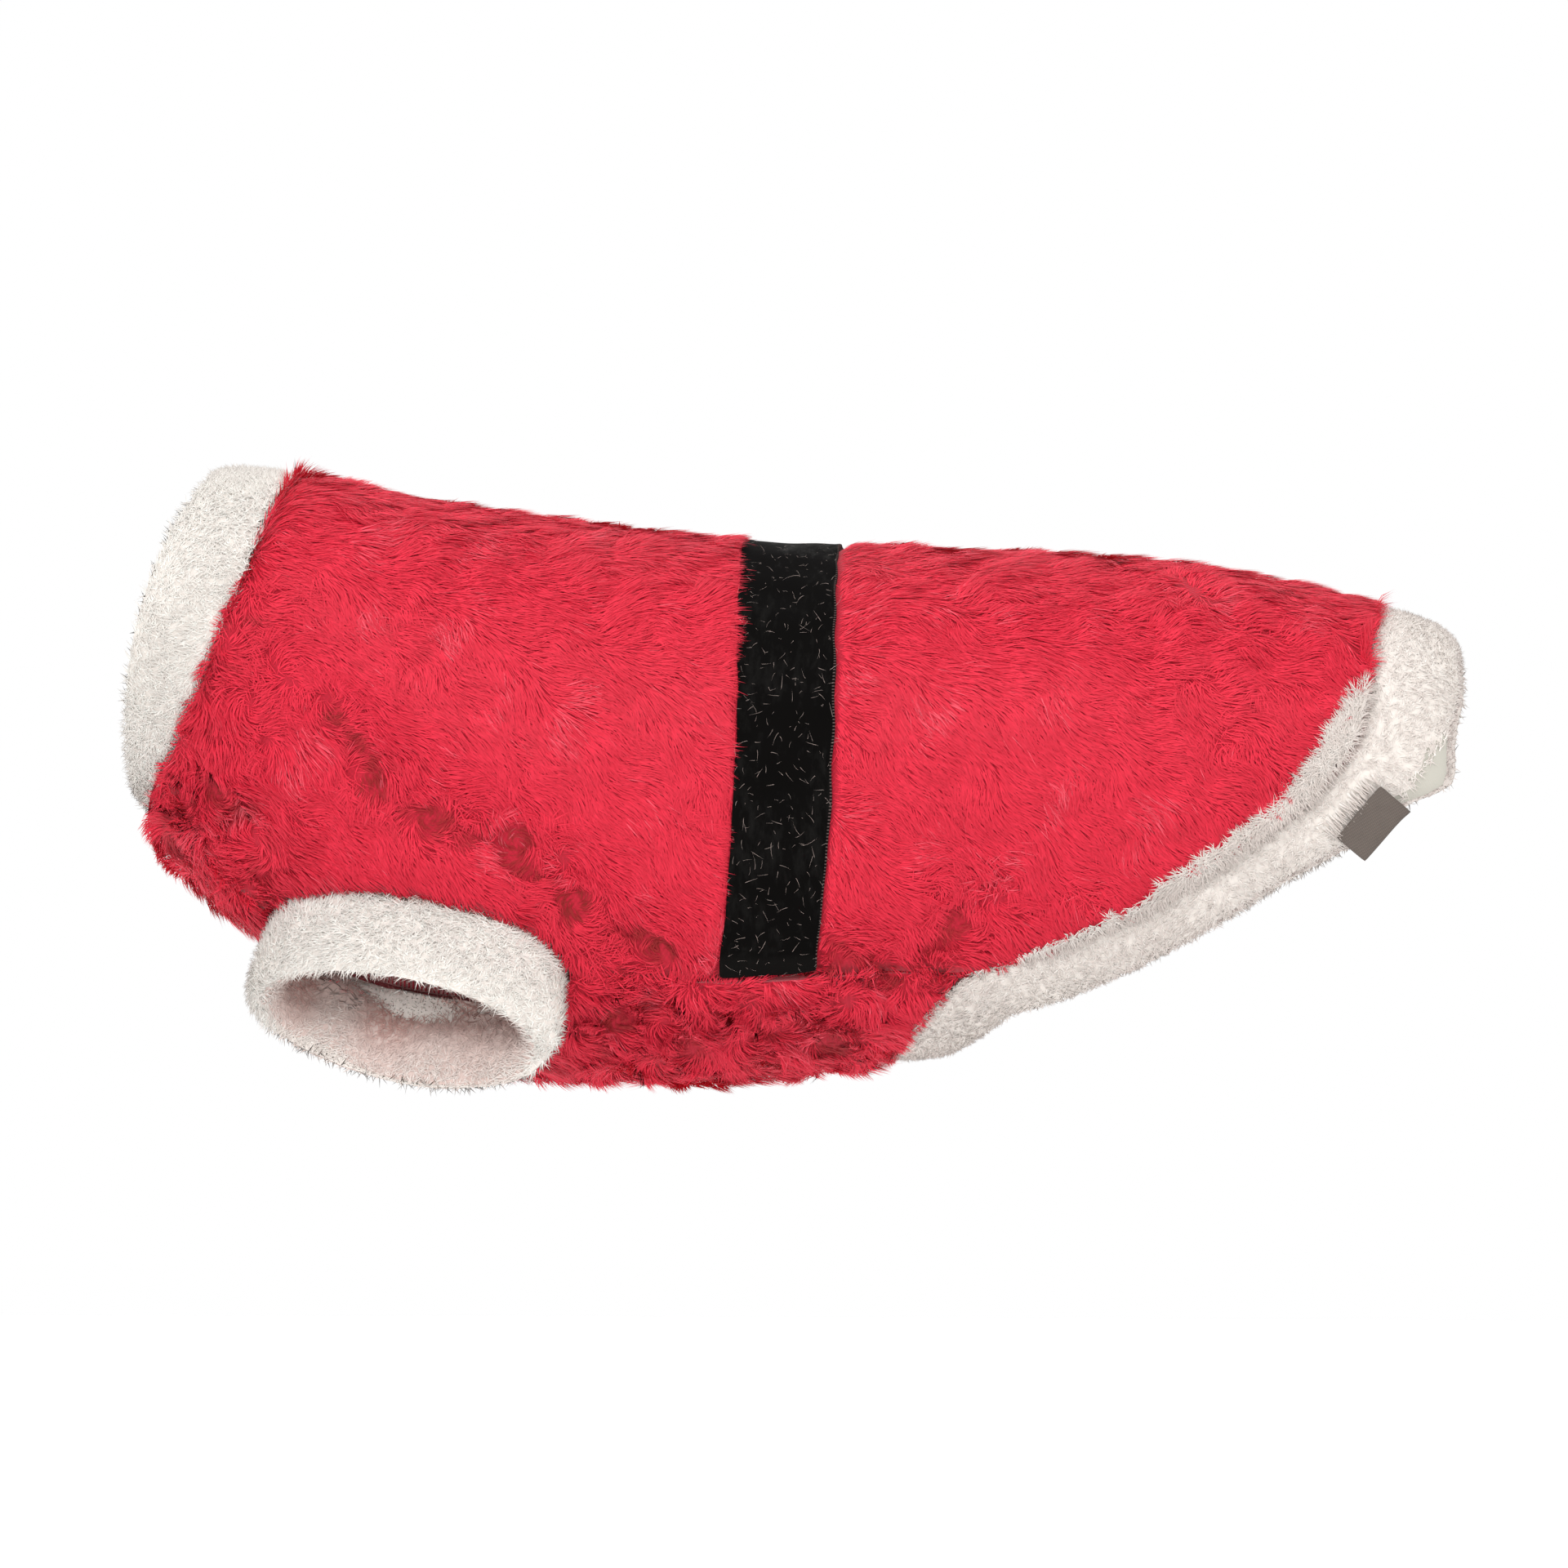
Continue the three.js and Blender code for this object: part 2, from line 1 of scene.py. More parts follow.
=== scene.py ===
"""A pullover santa coat for a small dog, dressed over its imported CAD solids.

Curly red plush, white plush trims, a black velvet ribbon belt and a bare woven label.
The dog would face -X, its back is up along +Z and its left side is -Y. Lengths are in metres.
"""

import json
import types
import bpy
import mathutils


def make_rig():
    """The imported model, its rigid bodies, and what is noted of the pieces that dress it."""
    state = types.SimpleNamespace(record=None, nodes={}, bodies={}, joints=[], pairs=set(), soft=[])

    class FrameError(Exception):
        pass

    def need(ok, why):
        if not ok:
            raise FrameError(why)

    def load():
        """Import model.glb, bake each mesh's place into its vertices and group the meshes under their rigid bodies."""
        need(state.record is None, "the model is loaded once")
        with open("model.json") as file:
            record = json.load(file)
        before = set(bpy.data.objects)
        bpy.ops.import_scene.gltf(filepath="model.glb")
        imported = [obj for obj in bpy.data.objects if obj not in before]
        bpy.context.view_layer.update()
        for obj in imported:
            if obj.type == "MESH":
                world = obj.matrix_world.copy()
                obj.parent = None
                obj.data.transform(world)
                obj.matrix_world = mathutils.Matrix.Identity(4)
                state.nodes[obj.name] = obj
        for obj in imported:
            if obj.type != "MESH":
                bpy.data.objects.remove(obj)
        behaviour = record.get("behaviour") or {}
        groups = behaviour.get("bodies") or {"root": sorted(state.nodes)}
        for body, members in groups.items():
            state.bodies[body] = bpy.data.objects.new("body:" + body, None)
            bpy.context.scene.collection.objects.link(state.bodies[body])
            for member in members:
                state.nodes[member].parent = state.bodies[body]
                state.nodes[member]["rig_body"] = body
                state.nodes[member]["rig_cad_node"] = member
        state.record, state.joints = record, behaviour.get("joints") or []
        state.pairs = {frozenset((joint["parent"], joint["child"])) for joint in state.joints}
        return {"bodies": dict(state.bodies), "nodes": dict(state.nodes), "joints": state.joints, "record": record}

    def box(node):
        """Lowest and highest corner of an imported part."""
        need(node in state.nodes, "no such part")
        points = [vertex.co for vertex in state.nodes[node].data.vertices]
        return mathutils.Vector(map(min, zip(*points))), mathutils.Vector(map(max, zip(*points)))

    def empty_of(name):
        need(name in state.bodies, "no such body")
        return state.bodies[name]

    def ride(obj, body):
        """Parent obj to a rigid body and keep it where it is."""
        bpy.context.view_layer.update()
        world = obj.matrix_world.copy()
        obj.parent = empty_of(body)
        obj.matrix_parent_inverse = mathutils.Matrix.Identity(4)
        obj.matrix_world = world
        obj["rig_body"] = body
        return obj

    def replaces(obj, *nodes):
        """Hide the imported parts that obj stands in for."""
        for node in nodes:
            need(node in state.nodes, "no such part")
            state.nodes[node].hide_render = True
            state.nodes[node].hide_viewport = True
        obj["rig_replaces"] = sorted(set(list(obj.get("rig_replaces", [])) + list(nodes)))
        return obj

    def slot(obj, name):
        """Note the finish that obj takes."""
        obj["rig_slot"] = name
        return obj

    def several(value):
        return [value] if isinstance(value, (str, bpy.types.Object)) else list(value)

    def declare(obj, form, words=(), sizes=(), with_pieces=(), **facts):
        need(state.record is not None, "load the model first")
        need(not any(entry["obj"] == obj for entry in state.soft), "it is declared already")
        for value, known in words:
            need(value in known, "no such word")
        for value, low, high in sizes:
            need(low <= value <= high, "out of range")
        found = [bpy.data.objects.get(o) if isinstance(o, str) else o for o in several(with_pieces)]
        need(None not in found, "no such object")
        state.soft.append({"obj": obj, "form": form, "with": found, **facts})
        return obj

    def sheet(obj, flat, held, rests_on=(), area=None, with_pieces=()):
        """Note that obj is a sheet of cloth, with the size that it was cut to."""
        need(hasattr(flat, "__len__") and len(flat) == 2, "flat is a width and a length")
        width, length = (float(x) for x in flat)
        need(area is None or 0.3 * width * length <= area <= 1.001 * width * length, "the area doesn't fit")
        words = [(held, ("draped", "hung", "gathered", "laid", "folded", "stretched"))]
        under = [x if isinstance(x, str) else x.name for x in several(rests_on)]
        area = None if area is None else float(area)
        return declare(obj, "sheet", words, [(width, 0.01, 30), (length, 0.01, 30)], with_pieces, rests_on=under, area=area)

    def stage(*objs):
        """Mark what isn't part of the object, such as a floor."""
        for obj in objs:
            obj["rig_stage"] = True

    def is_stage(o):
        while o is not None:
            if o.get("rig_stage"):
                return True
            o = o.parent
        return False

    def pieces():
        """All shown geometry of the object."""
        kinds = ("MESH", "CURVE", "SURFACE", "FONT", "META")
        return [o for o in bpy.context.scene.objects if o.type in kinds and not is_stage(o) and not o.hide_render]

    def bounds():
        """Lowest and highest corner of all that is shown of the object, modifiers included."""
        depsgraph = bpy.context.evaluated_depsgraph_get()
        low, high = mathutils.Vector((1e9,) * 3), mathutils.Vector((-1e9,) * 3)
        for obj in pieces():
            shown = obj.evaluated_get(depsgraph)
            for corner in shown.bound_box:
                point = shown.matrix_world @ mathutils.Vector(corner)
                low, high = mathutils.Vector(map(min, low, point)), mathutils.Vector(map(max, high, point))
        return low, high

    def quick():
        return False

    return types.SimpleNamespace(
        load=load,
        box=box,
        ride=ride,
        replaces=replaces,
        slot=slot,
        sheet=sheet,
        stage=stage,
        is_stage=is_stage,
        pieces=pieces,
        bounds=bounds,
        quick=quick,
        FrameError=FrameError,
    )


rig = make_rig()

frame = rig.load()

import json
import math

import bmesh
import bpy
import numpy as np
from mathutils import Vector
from mathutils.bvhtree import BVHTree
from mathutils.kdtree import KDTree

bl_info = {
    "name": "Dog Santa Coat",
    "version": (1, 0, 0),
    "blender": (4, 5, 0),
    "location": "View3D > Sidebar > Coat",
    "description": "Plush, ribbon, seams and studio of a dog's santa coat",
    "category": "Object",
}

MM = 0.001
SEAM_STEP = 0.0026
FOLD_HALF = 0.0007
SENSOR = 36
CAD_LOW, CAD_HIGH = (list(corner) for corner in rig.bounds())

# The coat's middle line, in mm: spokes from it point out through the cloth
MIDDLE = (
    {"x": -190, "z": -24},
    {"x": -140, "z": -32},
    {"x": -100, "z": -54},
    {"x": -60, "z": -68},
    {"x": 0, "z": -71},
    {"x": 100, "z": -66},
    {"x": 150, "z": -68},
    {"x": 195, "z": -84},
)

# Creases, in mm as seen from the dog's left: the side, -1 on the left and 1 on the right,
# the width, the depth below the cloth's even form, less than 0 on a ridge, and the path
CREASES = [dict(zip(("side", "width", "depth", "path"), row)) for row in (
    (-1, 7, 2.8, ((-129, -43), (-116, -60), (-98, -75), (-76, -80), (-56, -98), (-32, -112))),
    (-1, 9, -1.4, ((-118, -36), (-88, -54), (-58, -70), (-38, -88))),
    (-1, 7, 2.2, ((-178, -72), (-163, -66), (-150, -78), (-146, -94))),
    (-1, 7, 2.0, ((-61, -143), (-46, -130), (-22, -138), (12, -137))),
    (-1, 7, 2.0, ((16, -110), (34, -117), (50, -106), (60, -95))),
    (-1, 10, -1.2, ((-40, -104), (-10, -112), (16, -110))),
    (-1, 9, 1.3, ((108, -30), (130, -48), (142, -60))),
    (-1, 8, 1.4, ((-150, -12), (-146, -34), (-150, -52))),
    (1, 8, 2.4, ((-134, -38), (-121, -57), (-102, -65), (-85, -83), (-61, -89), (-48, -104))),
    (1, 9, -1.3, ((-112, -30), (-84, -44), (-62, -66))),
    (1, 6, 2.0, ((-174, -64), (-165, -82), (-149, -101))),
    (1, 7, 1.9, ((-56, -112), (-24, -130), (6, -130))),
    (1, 8, 1.7, ((26, -94), (56, -98), (84, -84))),
    (1, 9, 1.4, ((96, -34), (122, -44), (146, -62))),
)]

# Whorls of the curly pile that stand out, in mm as seen from the dog's left: x, z, the way the
# pile runs round, and how open the eye is and how dark its painted shade is, from 0 to 1
WHORLS = [dict(zip(("x", "z", "turn", "open"), row)) for row in (
    (-128, -43, 1, 0.6), (-116, -60, -1, 0.5), (-98, -75, 1, 0.9), (-73, -80, -1, 0.9), (-56, -98, 1, 1.0),
    (-33, -112, -1, 1.0), (-161, -66, 1, 0.8), (-149, -79, -1, 0.6), (-176, -80, 1, 0.7), (-46, -131, 1, 0.9),
    (-25, -140, -1, 0.6), (1, -133, 1, 0.5), (14, -138, 1, 0.9), (32, -117, -1, 0.8), (52, -104, 1, 0.8),
    (85, -100, 1, 0.7), (83, -33, -1, 0.35), (102, -43, 1, 0.3), (98, -76, -1, 0.4), (46, -34, 1, 0.25),
    (-119, -28, 1, 0.35), (-67, -23, -1, 0.3), (-83, 3, 1, 0.5), (-107, 9, -1, 0.5), (-147, -14, 1, 0.3),
)]

# Where the hem's plush ends over the red, in mm as seen from the side, from the tail's top down
TRIM_EDGE = ((176, -8), (174, -20), (172, -33), (162.5, -40), (157, -52), (151, -60), (145, -67), (138, -74),
             (126, -82), (112, -92), (99, -100), (80, -108), (61, -116), (42, -123))

# Places at the tail where the cloth stands out past the solids, in mm as seen from the side
BULGES = (
    {"x": 186, "z": -22, "reach": 14, "out": (3.2, 2.4)},
    {"x": 190, "z": -40, "reach": 13, "out": (4.0, -0.5)},
    {"x": 187, "z": -61, "reach": 9, "out": (5.0, -4.0)},
)

# How near the hem, in metres, the back panel is trimmed as far as that edge
TRIM_REACH = 0.011

# Where the back's pile is parted into pieces from the neck to the rump, in metres
PILE_STOPS = (-0.082, 0.001, 0.072)

# Past this line on the left the hem shows its smooth lining, in mm as seen from the left
LINING_EDGE = ((189, -51), (171.5, -74.7))

# Flat cuts of what shows, in metres, with the share of the rectangle that is cloth, how the
# cloth is held, what it rests on, and what is sewn or grown on it
CUTS = [dict(zip(("name", "flat", "share", "held", "on", "carries"), row)) for row in (
    ("back_cloth", (0.345, 0.315), 0.86, "hung", [],
     ["red_pile_neck", "red_pile_shoulder", "red_pile_loin", "red_pile_rump", "seam_allowance", "overlock_stitches"]),
    ("belly_cloth", (0.235, 0.1), 0.84, "hung", ["back_cloth"], ["red_pile_belly"]),
    ("collar_cloth", (0.285, 0.0295), 1, "stretched", ["back_cloth"], ["collar_pile"]),
    ("left_cuff_cloth", (0.21, 0.034), 1, "hung", ["back_cloth"], ["left_cuff_pile"]),
    ("right_cuff_cloth", (0.21, 0.034), 1, "hung", ["back_cloth"], ["right_cuff_pile"]),
    ("hem_cloth", (0.43, 0.03), 1, "stretched", ["back_cloth"], ["hem_pile"]),
    ("belt_ribbon", (0.0276, 0.322), 1, "stretched", ["back_cloth"], ["belt_lint"]),
    ("label_tape", (0.011, 0.0205), 1, "folded", ["hem_cloth"], []),
)]


def unit(vectors):
    return vectors / np.maximum(np.linalg.norm(vectors, axis=-1, keepdims=True), 1e-12)


def dot(a, b):
    return (a * b).sum(-1, keepdims=True)


def smooth(x, low, high):
    """From 0 at low to 1 at high, with soft ends."""
    t = np.clip((x - low) / (high - low), 0, 1)
    return t * t * (3 - 2 * t)


def waves(points, length, seed, count=6):
    """A soft random field over space, from about -1 to 1, with humps about a length apart."""
    rng = np.random.default_rng(seed)
    ways = unit(rng.normal(size=(count, 3))) * rng.uniform(0.6, 1.3, (count, 1)) * math.tau / length
    return np.sin(points @ ways.T + rng.uniform(0, math.tau, count)).sum(1) * (1.3 / count)


def coat_spokes(points):
    """Directions from the coat's middle line out to points."""
    spokes = points.copy()
    spokes[:, 0] = 0
    middle_x, middle_z = ([row[key] * MM for row in MIDDLE] for key in ("x", "z"))
    spokes[:, 2] -= np.interp(points[:, 0], middle_x, middle_z)
    return unit(spokes)


def cuff_spokes(side):
    """The same for a leg cuff, from the middle line of its own tube."""
    name = "leg_cuff_left" if side < 0 else "leg_cuff_right"
    low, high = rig.box(name)
    middle = np.array((low + high) / 2)
    tube = unit(np.array([-0.14, 0.45 * side, -0.88]))

    def spokes(points):
        away = points - middle
        return unit(away - dot(away, tube) * tube)
    return spokes


def along_crease(points, crease, spread=1.0):
    """How near points are to a crease's bed, from 0 to 1."""
    seen = points[:, [0, 2]] / MM
    path = np.array(crease["path"], float)
    near = np.full(len(points), 1e9)
    for a, b in zip(path, path[1:]):
        share = np.clip((seen - a) @ (b - a) / ((b - a) @ (b - a)), 0, 1)
        near = np.minimum(near, np.linalg.norm(seen - a - share[:, None] * (b - a), axis=1))
    facing = smooth(coat_spokes(points)[:, 1] * crease["side"], 0.1, 0.6)
    return np.exp(-(near / (crease["width"] * spread)) ** 2) * facing


def creased(points):
    """Points moved in or out where the coat's creases and ridges run."""
    amount = 0.7 * waves(points, 0.06, 5)
    for crease in CREASES:
        amount += crease["depth"] * along_crease(points, crease)
    moved = points - coat_spokes(points) * (amount * MM)[:, None]
    for bulge in BULGES:
        near = np.linalg.norm(points[:, [0, 2]] / MM - (bulge["x"], bulge["z"]), axis=1)
        moved[:, [0, 2]] += np.exp(-(near / bulge["reach"]) ** 2)[:, None] * np.array(bulge["out"]) * MM
    return moved


def past_line(points, path):
    """How far points lie past a line seen from the side, in mm, and less than 0 before it."""
    seen = points[:, [0, 2]] / MM
    path = np.array(path, float)
    near, past = np.full(len(points), 1e9), np.zeros(len(points))
    for a, b in zip(path, path[1:]):
        share = np.clip((seen - a) @ (b - a) / ((b - a) @ (b - a)), 0, 1)
        away = seen - a - share[:, None] * (b - a)
        gap = np.linalg.norm(away, axis=1)
        side = np.sign((b - a)[0] * away[:, 1] - (b - a)[1] * away[:, 0])
        past = np.where(gap < near, gap * side, past)
        near = np.minimum(near, gap)
    return past


def past_trim(points):
    """How far points lie past the ragged edge of the hem's plush, in mm."""
    past = past_line(points, TRIM_EDGE) + 1.5 * waves(points, 0.0065, 61)
    return np.where(points[:, 0] > 0.044, past, -99.0)


def on_lining(points, margin=0):
    """Whether points lie where the hem shows its smooth lining, by a margin in mm."""
    return (past_line(points, LINING_EDGE) > margin) & (points[:, 1] < 0.01) & (points[:, 2] > -0.09)


def tousled(points):
    """How tousled the curly pile is: little on the flanks, much in creases, breast and belly."""
    beds = np.max([along_crease(points, crease, 1.5) * min(1, crease["depth"] / 2.4)
                   for crease in CREASES if crease["depth"] > 0], axis=0)
    breast, belly = smooth(-points[:, 0], 0.132, 0.172), smooth(-points[:, 2], 0.092, 0.124)
    amount = 0.14 + 0.5 * beds + 0.5 * breast + 0.5 * belly + 0.12 * waves(points, 0.05, 3)
    return np.clip(amount, 0.05, 1)


def coords(mesh, what="vertices", key="co"):
    held = getattr(mesh, what)
    values = np.empty(len(held) * 3, np.float32)
    held.foreach_get(key, values)
    return values.reshape(-1, 3).astype(float)


def put_coords(mesh, points):
    mesh.vertices.foreach_set("co", np.asarray(points, np.float32).ravel())
    mesh.update()


def pick_only(obj):
    """Deselects everything, then selects one object and makes it the active one."""
    bpy.ops.object.select_all(action="DESELECT")
    obj.select_set(True)
    bpy.context.view_layer.objects.active = obj


def tree_of(*nodes):
    """A search tree over the faces of CAD nodes."""
    points, faces = [], []
    for node in nodes:
        mesh = frame["nodes"][node].data
        faces += [[len(points) + v for v in face.vertices] for face in mesh.polygons]
        points += [v.co.copy() for v in mesh.vertices]
    return BVHTree.FromPolygons(points, faces)


def distances(points, tree):
    return np.array([tree.find_nearest(Vector(p))[3] for p in points])


def way_to(points, normals, tree):
    """The way over the cloth to the nearest face of the tree, and how far that is."""
    found = [tree.find_nearest(Vector(p)) for p in points]
    way = np.reshape([row[0][:] for row in found], (-1, 3)) - points
    return unit(way - dot(way, normals) * normals), np.array([row[3] for row in found])


def covered(points, normals, tree, reach):
    """Whether a face of the tree lies within reach straight above each point."""
    hits = [tree.ray_cast(Vector(p), Vector(n), reach)[0] for p, n in zip(points, normals)]
    return np.array([hit is not None for hit in hits])


def in_cuffs(points):
    """Whether points lie in the hollow of a leg cuff."""
    inside = np.zeros(len(points), bool)
    for side, node in ((-1, "leg_cuff_left"), (1, "leg_cuff_right")):
        low, high = (np.array(corner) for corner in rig.box(node))
        spokes, tree = cuff_spokes(side), tree_of(node)
        for k in np.flatnonzero(((points > low) & (points < high)).all(1)):
            at, normal = tree.find_nearest(Vector(points[k]))[:2]
            outwards = normal.dot(Vector(spokes(points[k:k + 1])[0]))
            inside[k] = outwards < 0 < normal.dot(Vector(points[k]) - at)
    return inside


def merged_copy(node, name):
    """A copy of a CAD node as one skin of quads, with its sharp rims selected."""
    copy = frame["nodes"][node].copy()
    copy.data = copy.data.copy()
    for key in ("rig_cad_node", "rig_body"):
        del copy[key]
    copy.name = copy.data.name = name
    copy.parent = None
    copy.hide_viewport = copy.hide_render = False
    bpy.context.scene.collection.objects.link(copy)
    pick_only(copy)
    bpy.ops.mesh.customdata_custom_splitnormals_clear()
    bpy.ops.object.mode_set(mode="EDIT")
    bpy.ops.mesh.select_mode(type="EDGE")
    bpy.ops.mesh.select_all(action="SELECT")
    bpy.ops.mesh.remove_doubles(threshold=0.00002)
    bpy.ops.mesh.tris_convert_to_quads(face_threshold=math.radians(60), shape_threshold=math.radians(60))
    bpy.ops.mesh.select_all(action="DESELECT")
    bpy.ops.mesh.edges_select_sharp(sharpness=math.radians(50))
    return copy


def soft_copy(node, name, levels, rim=0):
    """A merged copy with soft faces, whose rims stay as tight as rim says, from 0 to 1."""
    copy = merged_copy(node, name)
    if rim:
        bpy.ops.transform.edge_crease(value=rim)
    bpy.ops.object.mode_set(mode="OBJECT")
    while copy.data.uv_layers:
        copy.data.uv_layers.remove(copy.data.uv_layers[0])
    modifier = copy.modifiers.new("soft", "SUBSURF")
    modifier.levels = modifier.render_levels = levels
    bpy.ops.object.modifier_apply(modifier=modifier.name)
    bpy.ops.object.shade_smooth()
    return copy


def dress(obj, paints, slot, *nodes):
    """Gives a finished piece its materials, its body and the CAD nodes it stands for."""
    obj.data.materials.clear()
    for paint in paints:
        obj.data.materials.append(paint)
    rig.ride(obj, "root")
    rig.slot(obj, slot)
    if nodes:
        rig.replaces(obj, *nodes)
    return obj


class Value:
    """A socket that takes part in sums: a formula on values adds its Math nodes."""

    def __init__(self, paint, socket):
        self.paint, self.socket = paint, socket

    def sum(self, operation, *terms, clamp=False):
        settings = {"operation": operation, "use_clamp": clamp}
        return self.paint.node("ShaderNodeMath", settings, dict(enumerate(terms)))

    def __add__(self, other):
        return self.sum("ADD", self, other)

    def __radd__(self, other):
        return self.sum("ADD", other, self)

    def __sub__(self, other):
        return self.sum("SUBTRACT", self, other)

    def __rsub__(self, other):
        return self.sum("SUBTRACT", other, self)

    def __mul__(self, other):
        return self.sum("MULTIPLY", self, other)

    def __rmul__(self, other):
        return self.sum("MULTIPLY", other, self)

    def clamped(self):
        return self.sum("ADD", self, 0, clamp=True)

    def sine(self):
        return self.sum("SINE", self)


class Paint:
    """A material that is put together from nodes."""

    def __init__(self, name, **fixed):
        self.material = bpy.data.materials.new(name)
        self.material.use_nodes = True
        self.tree = self.material.node_tree
        self.shader = self.tree.nodes["Principled BSDF"]
        for socket, value in fixed.items():
            self.shader.inputs[socket.replace("_", " ")].default_value = value

    def node(self, kind, settings=None, sockets=None, output=0):
        made = self.tree.nodes.new(kind)
        for key, value in (settings or {}).items():
            setattr(made, key, value)
        for key, value in (sockets or {}).items():
            self.feed(made.inputs[key], value)
        return Value(self, made.outputs[output])

    def feed(self, socket, value):
        if isinstance(value, Value):
            self.tree.links.new(value.socket, socket)
        else:
            socket.default_value = value

    def place(self):
        return self.node("ShaderNodeTexCoord", output="Object")

    def parts(self, vector):
        """The three numbers of a vector."""
        split = self.node("ShaderNodeSeparateXYZ", sockets={0: vector})
        return [Value(self, out) for out in split.socket.node.outputs]

    def attribute(self, name):
        return self.parts(self.node("ShaderNodeAttribute", {"attribute_name": name}, output="Vector"))

    def stretched(self, scale):
        return self.node("ShaderNodeMapping", sockets={"Vector": self.place(), "Scale": scale})

    def noise(self, size, detail=2.0, roughness=0.5, vector=None):
        """Noise with patches of about a size in metres."""
        sockets = {"Vector": vector or self.place(), "Scale": 1 / size, "Detail": detail, "Roughness": roughness}
        return self.node("ShaderNodeTexNoise", sockets=sockets)

    def mix(self, a, b, factor):
        settings = {"data_type": "RGBA"}
        return self.node("ShaderNodeMix", settings, {0: factor, 6: a, 7: b}, output=2)

    def bump(self, height, depth, strength=1.0):
        return self.node("ShaderNodeBump", sockets={"Height": height, "Distance": depth, "Strength": strength})

    def finish(self, **sockets):
        for name, value in sockets.items():
            self.feed(self.shader.inputs[name.replace("_", " ")], value)
        return self.material


def rgba(colour):
    return (*colour, 1.0)


def pile_paint(name, painted_shade_tone, tip, pale, sheen, gloss):
    """Pile strands: painted shade where their painted light share is low, roots painted lighter than tips as painted
    light, and painted highlights on the strands marked as glints.
    """
    paint = Paint(name, Sheen_Weight=sheen, Sheen_Roughness=0.45, Specular_IOR_Level=gloss)
    paint.shader.inputs["Sheen Tint"].default_value = rgba(pale)
    own, along, painted_light_share = paint.attribute("pile")
    patches = paint.noise(0.03, 2)
    # Mixing towards the shade tone is painted shade, where the painted light share is low; patches and own add random
    # tone
    light = (painted_light_share + (own - 0.5) * 0.05 + (patches - 0.5) * 0.14).clamped()
    # Roots painted lighter than tips: painted light that stands in for light passing through the pile
    root = [min(0.98, c * 1.25) for c in tip]
    base = paint.mix(rgba(painted_shade_tone), paint.mix(rgba(root), rgba(tip), (along * 1.6).clamped()), light)
    # Painted highlight: strands whose own value is high are painted lighter
    painted_glint = ((own - 0.9) * 12).clamped() * (0.35 + along * 0.65) * 0.45
    base = paint.mix(base, rgba(pale), painted_glint)
    return paint.finish(Base_Color=base, Roughness=0.72 - along * 0.2)


def cloth_paint(name, dark, light, weave, relief=0.0002):
    """A plain backing cloth with a fine knit."""
    paint = Paint(name, Specular_IOR_Level=0.2, Sheen_Weight=0.15)
    x, y, z = paint.parts(paint.place())
    turns = math.tau / weave
    knit = (x * turns).sine() * ((y + z) * turns).sine() * 0.5 + 0.5
    blotches = paint.noise(0.02, 3)
    base = paint.mix(rgba(dark), rgba(light), (knit * 0.45 + blotches * 0.7 - 0.1).clamped())
    return paint.finish(Base_Color=base, Roughness=0.9, Normal=paint.bump(knit, relief, 0.6))


def velvet_paint(colour):
    """Black velvet with a brushed nap, a crease at its turned ends and ribbed selvages."""
    paint = Paint("black_velvet", Sheen_Weight=0.012, Sheen_Roughness=0.3, Specular_IOR_Level=0.05)
    across, along, end = paint.attribute("ribbon")
    nap = paint.noise(0.0035, 4, 0.65, paint.stretched((1.5, 0.7, 0.6)))
    crushed = paint.noise(0.016, 3)
    far = along.sum("ABSOLUTE", along)
    # Near the belt's top and bottom, the grey mottling of the nap is stronger
    ends = ((0.045 - far) * 40).clamped() + ((far - 0.19) * 40).clamped()
    selvage = ((across - 0.01285) * 4000).clamped()
    ribs = ((along * (math.tau / 0.0009)).sine() * 2).clamped()
    brushed = ((nap - 0.5) * 2.2 + (crushed - 0.5) * 1.6).clamped() * (0.25 + ends * 0.75)
    base = paint.mix(rgba(colour), rgba([0.035, 0.034, 0.032]), brushed.clamped())
    base = paint.mix(base, rgba([0.006, 0.0055, 0.005]), end * 0.6)
    base = paint.mix(base, rgba([0.12, 0.085, 0.08]), selvage * ribs * 0.8)
    height = nap * (1 - selvage) + ribs * selvage
    return paint.finish(Base_Color=base, Roughness=0.95 - crushed * 0.2, Normal=paint.bump(height, 0.0003, 0.6))


def tape_paint(colour):
    """A woven label with nothing on it: fine ribs across the tape."""
    paint = Paint("woven_label", Sheen_Weight=0.2, Specular_IOR_Level=0.35)
    x, y, z = paint.parts(paint.place())
    warp = ((x + z * 0.6) * (math.tau / 0.0006)).sine() * 0.5 + 0.5
    weft = ((x * 0.6 - z) * (math.tau / 0.0009)).sine() * 0.5 + 0.5
    tone = (warp * 0.35 + weft * 0.35 + paint.noise(0.004) * 0.4).clamped()
    base = paint.mix(rgba([c * 0.72 for c in colour]), rgba([c * 1.35 for c in colour]), tone)
    return paint.finish(Base_Color=base, Roughness=0.62, Normal=paint.bump(warp * weft, 0.0001, 0.8))


